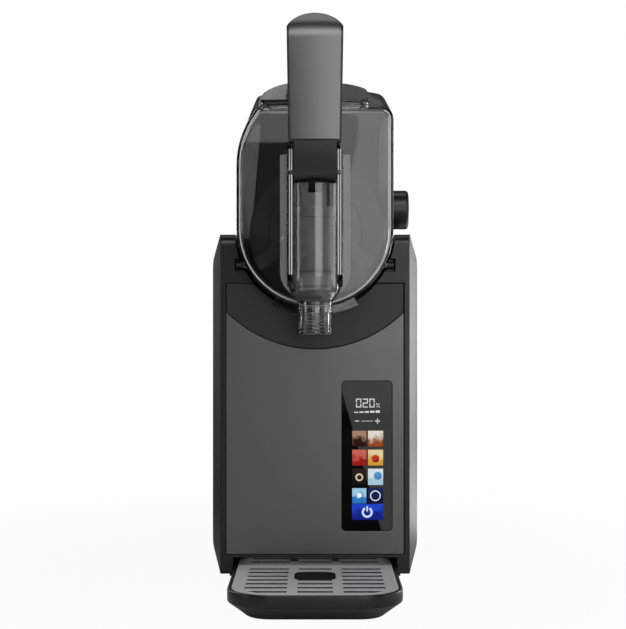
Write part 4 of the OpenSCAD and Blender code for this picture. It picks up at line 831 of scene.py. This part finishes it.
def lid_piece():
    """The fill lid: the mouth's outline, rounded over its edge and drawn in to the middle above and below,
    with a skirt inside the neck, a finger tab and the knuckle of its hinge."""
    edge = [hull_points(MOUTH_DISCS, MOUTH_NORMALS, i) for i in (0.5, 0.0, 0.0, 0.15, 0.5)]
    centre, shrink = np.array([0.0, 72.0]), np.linspace(0.04, 0.97, 16)
    below = [centre + t * (edge[0] - centre) for t in shrink]
    flat = np.stack(below + edge + below[::-1])
    n = np.concatenate([np.full(17, 2.0), [2.5, 3.7, 4.05], np.full(17, 4.2)])[:, None]
    lid = raw_object("fill_lid_plate", *stacked(over_crown(flat[..., 0], flat[..., 1], n)))
    skirt = np.stack([hull_points(MOUTH_DISCS, MOUTH_NORMALS, i) for i in (3.4, 3.4, 5.2, 5.2)])
    n = np.array([2.6, 0.0, 0.0, 2.6])[:, None]
    joined(lid, *stacked(over_crown(skirt[..., 0], skirt[..., 1], n), wrap_rows=True))
    cut_out(lid, *on_slope([(15.5, 23.0, 130.5, 142.0), (-23.0, -15.5, 130.5, 142.0)], -10.0, 20.0))
    joined(lid, *on_slope([(-14.0, 14.0, 10.0, 16.0)], 2.0, 4.1))
    joined(lid, *on_slope([(-15.0, 15.0, 128.0, 133.8)], 2.05, 4.15))
    knuckle = rounded_steps([(2.05, -15.0), (4.0, -15.0), (4.0, 15.0), (2.05, 15.0)], 0.4)
    hinge = up_the_slope(np.zeros(1), np.full(1, 136.0), np.full(1, 5.0))[0]
    joined(lid, *turned(knuckle, hinge, "x", 48))
    fitted(smooth(lid), LID_CLEAR, "fill_lid")


def vessel_piece():
    """The smoked vessel: outer loft with a rounded front edge, plus neck, hinge ears, lip and lug bosses,
    less the inner loft, the fill opening and the port to the tap, plus the tongue that the lock holds."""
    edge = 3.0
    a = np.linspace(0.0, math.pi / 2, 8)
    nose = [(VESSEL_FRONT, 0.0, edge + 0.6)]
    nose += [(VESSEL_FRONT + edge * (1 - math.cos(t)), 0.0, edge * (1 - math.sin(t))) for t in a]
    run = np.linspace(0.0, 1.0, 9)[1:]
    y0 = VESSEL_FRONT + edge
    outer = vessel_rings(nose + [(y0 + t * (VESSEL_REAR - y0), t, 0.0) for t in run])
    vessel = raw_object("vessel_shell", *stacked(outer))
    neck = np.stack([hull_points(MOUTH_DISCS, MOUTH_NORMALS, i) for i in (0.0, 0.0, 0.7, 2.3, 2.9, 2.9)])
    n = np.array([-9.0, 1.0, 1.7, 1.7, 1.1, -9.0])[:, None]
    joined(vessel, *stacked(over_crown(neck[..., 0], neck[..., 1], n), wrap_rows=True))
    joined(vessel, *on_slope([(-22.0, -16.0, 132.6, 141.0), (16.0, 22.0, 132.6, 141.0)], -7.0, 8.5))
    lip = rounded_steps([(58.0, -93.3), (72.0, -93.3), (72.0, -89.3), (58.0, -89.3)], 0.8)
    t = np.radians(np.linspace(-30.5, 30.5, 33))[:, None] - math.pi / 2
    arc = [lip[:, 0] * np.cos(t), lip[:, 1] + 0 * t, AXIS_Z + lip[:, 0] * np.sin(t)]
    joined(vessel, *stacked(np.stack(arc, -1)))
    for side in (-1.0, 1.0):
        near, far = 53.4 * side, 60.4 * side
        boss = rounded_steps([(3.0, near), (4.2, near), (4.2, far), (3.0, far)], 0.3)
        joined(vessel, *turned(boss, (0.0, -84.5, 272.8), "x", 32))
    y1, inner = VESSEL_FRONT + VESSEL_WALL, 2.0
    hollow = [(y1 + inner * (1 - math.cos(t)), 0.0, VESSEL_WALL + inner * (1 - math.sin(t))) for t in a]
    hollow += [(y1 + inner + t * (VESSEL_REAR - y1 - inner), t, VESSEL_WALL) for t in run]
    hollow.append((VESSEL_REAR + 2.0, 1.0, VESSEL_WALL))
    cut_out(vessel, *stacked(vessel_rings(hollow)))
    mouth = hull_points(MOUTH_DISCS, MOUTH_NORMALS, 3.0)
    cut_out(vessel, *stacked([up_the_slope(mouth[:, 0], mouth[:, 1], n) for n in (-30.0, 10.0)]))
    cut_out(vessel, *boxes([PORT], VESSEL_FRONT - 1.0, VESSEL_FRONT + 6.4))
    joined(vessel, *boxes([(58.7, 61.9, 315.2, 321.7)], 19.0, 44.0))
    fitted(smooth(vessel, 28.0), VESSEL_CLEAR, "vessel")


def vessel_painted_highlight():
    """A painted highlight on the vessel's front: a pale circle carried along the front outline a little
    inside it, from the left upper corner round the foot to the right one."""
    radius, inset = 0.6, 2.8
    normals = np.sort((VESSEL_NORMALS - math.pi / 2) % (2 * math.pi)) + math.pi / 2
    normals = normals[(normals > math.radians(100.0)) & (normals < math.radians(440.0))]
    a = round_angles(12)
    rings = [np.insert(hull_points(FRONT_DISCS, normals, inset - radius * math.cos(t)), 1,
                       VESSEL_FRONT + 0.3 - radius * math.sin(t), axis=1) for t in a]
    bead = raw_object("vessel_front_painted_highlight", *stacked(np.stack(rings, 1)))
    fitted(smooth(bead, 60.0), VESSEL_PAINTED_HIGHLIGHT, body=BODY_OF["vessel"], slot="smoke_clear")


vessel_piece()
vessel_painted_highlight()
lid_piece()

# ---------- stage: a floor near white to the camera, shaded at the left rear elsewhere, and soft light
FLOOR_REACH, FLOOR_Z = 4000.0, -0.3
floor_r, floor_a = np.linspace(0.0, FLOOR_REACH, 40)[1:], round_angles(64)
floor_points = np.stack([np.outer(floor_r, np.cos(floor_a)), np.outer(floor_r, np.sin(floor_a)),
                         np.full((len(floor_r), len(floor_a)), FLOOR_Z)], -1)
floor_mesh = bpy.data.meshes.new("floor")
floor_mesh.from_pydata((floor_points.reshape(-1, 3) * MM).tolist(), [],
                       quads(len(floor_r), len(floor_a)) + [list(range(len(floor_a)))])
floor = in_scene("floor", floor_mesh)
floor_paper, tree, main, place = shader("white_paper_sweep", "#f2f2f2", 0.9)
corner = computed(tree, "SUBTRACT", coordinate(tree, place, "Y"), coordinate(tree, place, "X"))
wired(tree, main, Base_Color=mixed(tree, ranged(tree, corner, -0.2, 0.5), "#f2f2f2", "#3c3c3c"))
far = put(tree, "ShaderNodeVectorMath", {0: place}, operation="LENGTH").outputs["Value"]
seen = put(tree, "ShaderNodeLightPath").outputs["Is Camera Ray"]
share = computed(tree, "MULTIPLY", seen, ranged(tree, far, 0.2, 0.8, 0.96, 1.0))
glow = put(tree, "ShaderNodeEmission", {"Color": linear("#ffffff"), "Strength": 1.0})
paper = put(tree, "ShaderNodeMixShader", {0: share, 1: main.outputs["BSDF"], 2: glow.outputs["Emission"]})
tree.links.new(paper.outputs["Shader"], tree.nodes["Material Output"].inputs["Surface"])
floor_mesh.materials.append(floor_paper)

world = bpy.data.worlds.new("studio")
scene.world = world
world.use_nodes = True
tree = world.node_tree
room = tree.nodes["Background"]
room.inputs["Color"].default_value = linear("#8a8a8a")
room.inputs["Strength"].default_value = 0.16
sweep = put(tree, "ShaderNodeBackground", {"Color": linear("#ffffff"), "Strength": 1.0})
seen = put(tree, "ShaderNodeLightPath").outputs["Is Camera Ray"]
both = put(tree, "ShaderNodeMixShader", {0: seen, 1: room.outputs[0], 2: sweep.outputs[0]})
tree.links.new(both.outputs[0], tree.nodes["World Output"].inputs["Surface"])


def softbox(name, place, aim, size, watts):
    """A flat soft light at a place, facing a point, both in metres."""
    data = bpy.data.lights.new(name, "AREA")
    data.shape, (data.size, data.size_y), data.energy = "RECTANGLE", size, watts
    lamp = in_scene(name, data)
    lamp.location = place
    way = np.subtract(aim, place)
    flat = math.hypot(way[0], way[1])
    lamp.rotation_euler = (math.atan2(flat, -way[2]), 0.0, math.atan2(-way[0], way[1]))
    return lamp


# Each light: its place, the point that it faces, its width and height, and its watts
LIGHTS = {
    "front_right_softbox": ((0.56, -1.9, 0.55), (0.56, 0.0, 0.55), (1.04, 1.02), 6.7),
    "front_left_card": ((-0.12, -1.9, 0.71), (-0.12, 0.0, 0.71), (0.14, 0.18), 0.12),
    "top_front_softbox": ((0.1, -1.3, 1.35), (0.0, -0.1, 0.35), (1.2, 0.7), 7.6),
    "rear_right_softbox": ((1.25, 0.9, 0.2), (0.0, 0.0, 0.2), (0.36, 0.4), 3.8),
    "rear_right_high_card": ((1.25, 0.9, 0.72), (0.0, 0.0, 0.3), (0.3, 0.6), 2.4),
    "right_floor_card": ((0.56, 0.42, 0.004), (0.57, 0.43, 1.0), (0.3, 0.9), 1.4),
    "right_softbox": ((1.5, -0.35, 0.5), (0.0, 0.0, 0.3), (0.8, 1.2), 4.0),
    "rear_high_softbox": ((-1.3, 1.3, 1.5), (0.0, 0.1, 0.3), (1.0, 0.9), 8.0),
    "rear_low_card": ((0.0, 2.6, 0.45), (0.0, 0.0, 0.35), (3.0, 0.8), 4.5),
    "rear_top_card": ((-0.65, 1.6, 1.15), (0.0, 0.0, 0.42), (1.2, 0.35), 0.35),
    "rear_top_dim_card": ((0.35, 1.6, 1.15), (0.1, 0.0, 0.42), (0.7, 0.35), 0.06),
    "left_front_strip": ((-1.2, -0.6, 0.4), (0.0, -0.1, 0.3), (0.12, 1.0), 1.3),
    "left_edge_strip": ((-1.2, 0.8, 0.45), (0.0, -0.1, 0.3), (0.02, 1.2), 0.8),
    "top_card": ((0.0, 0.3, 1.6), (0.0, -0.1, 0.4), (0.8, 0.5), 1.6),
    "fill_below_sill": ((0.0, -0.062, 0.0275), (0.0, -0.062, 0.0), (0.12, 0.035), 0.0012),
}
lamps = {name: softbox(name, *row) for name, row in LIGHTS.items()}
lamps["right_floor_card"].visible_camera = False

scene.view_settings.view_transform = "Standard"
scene.cycles.use_denoising = True
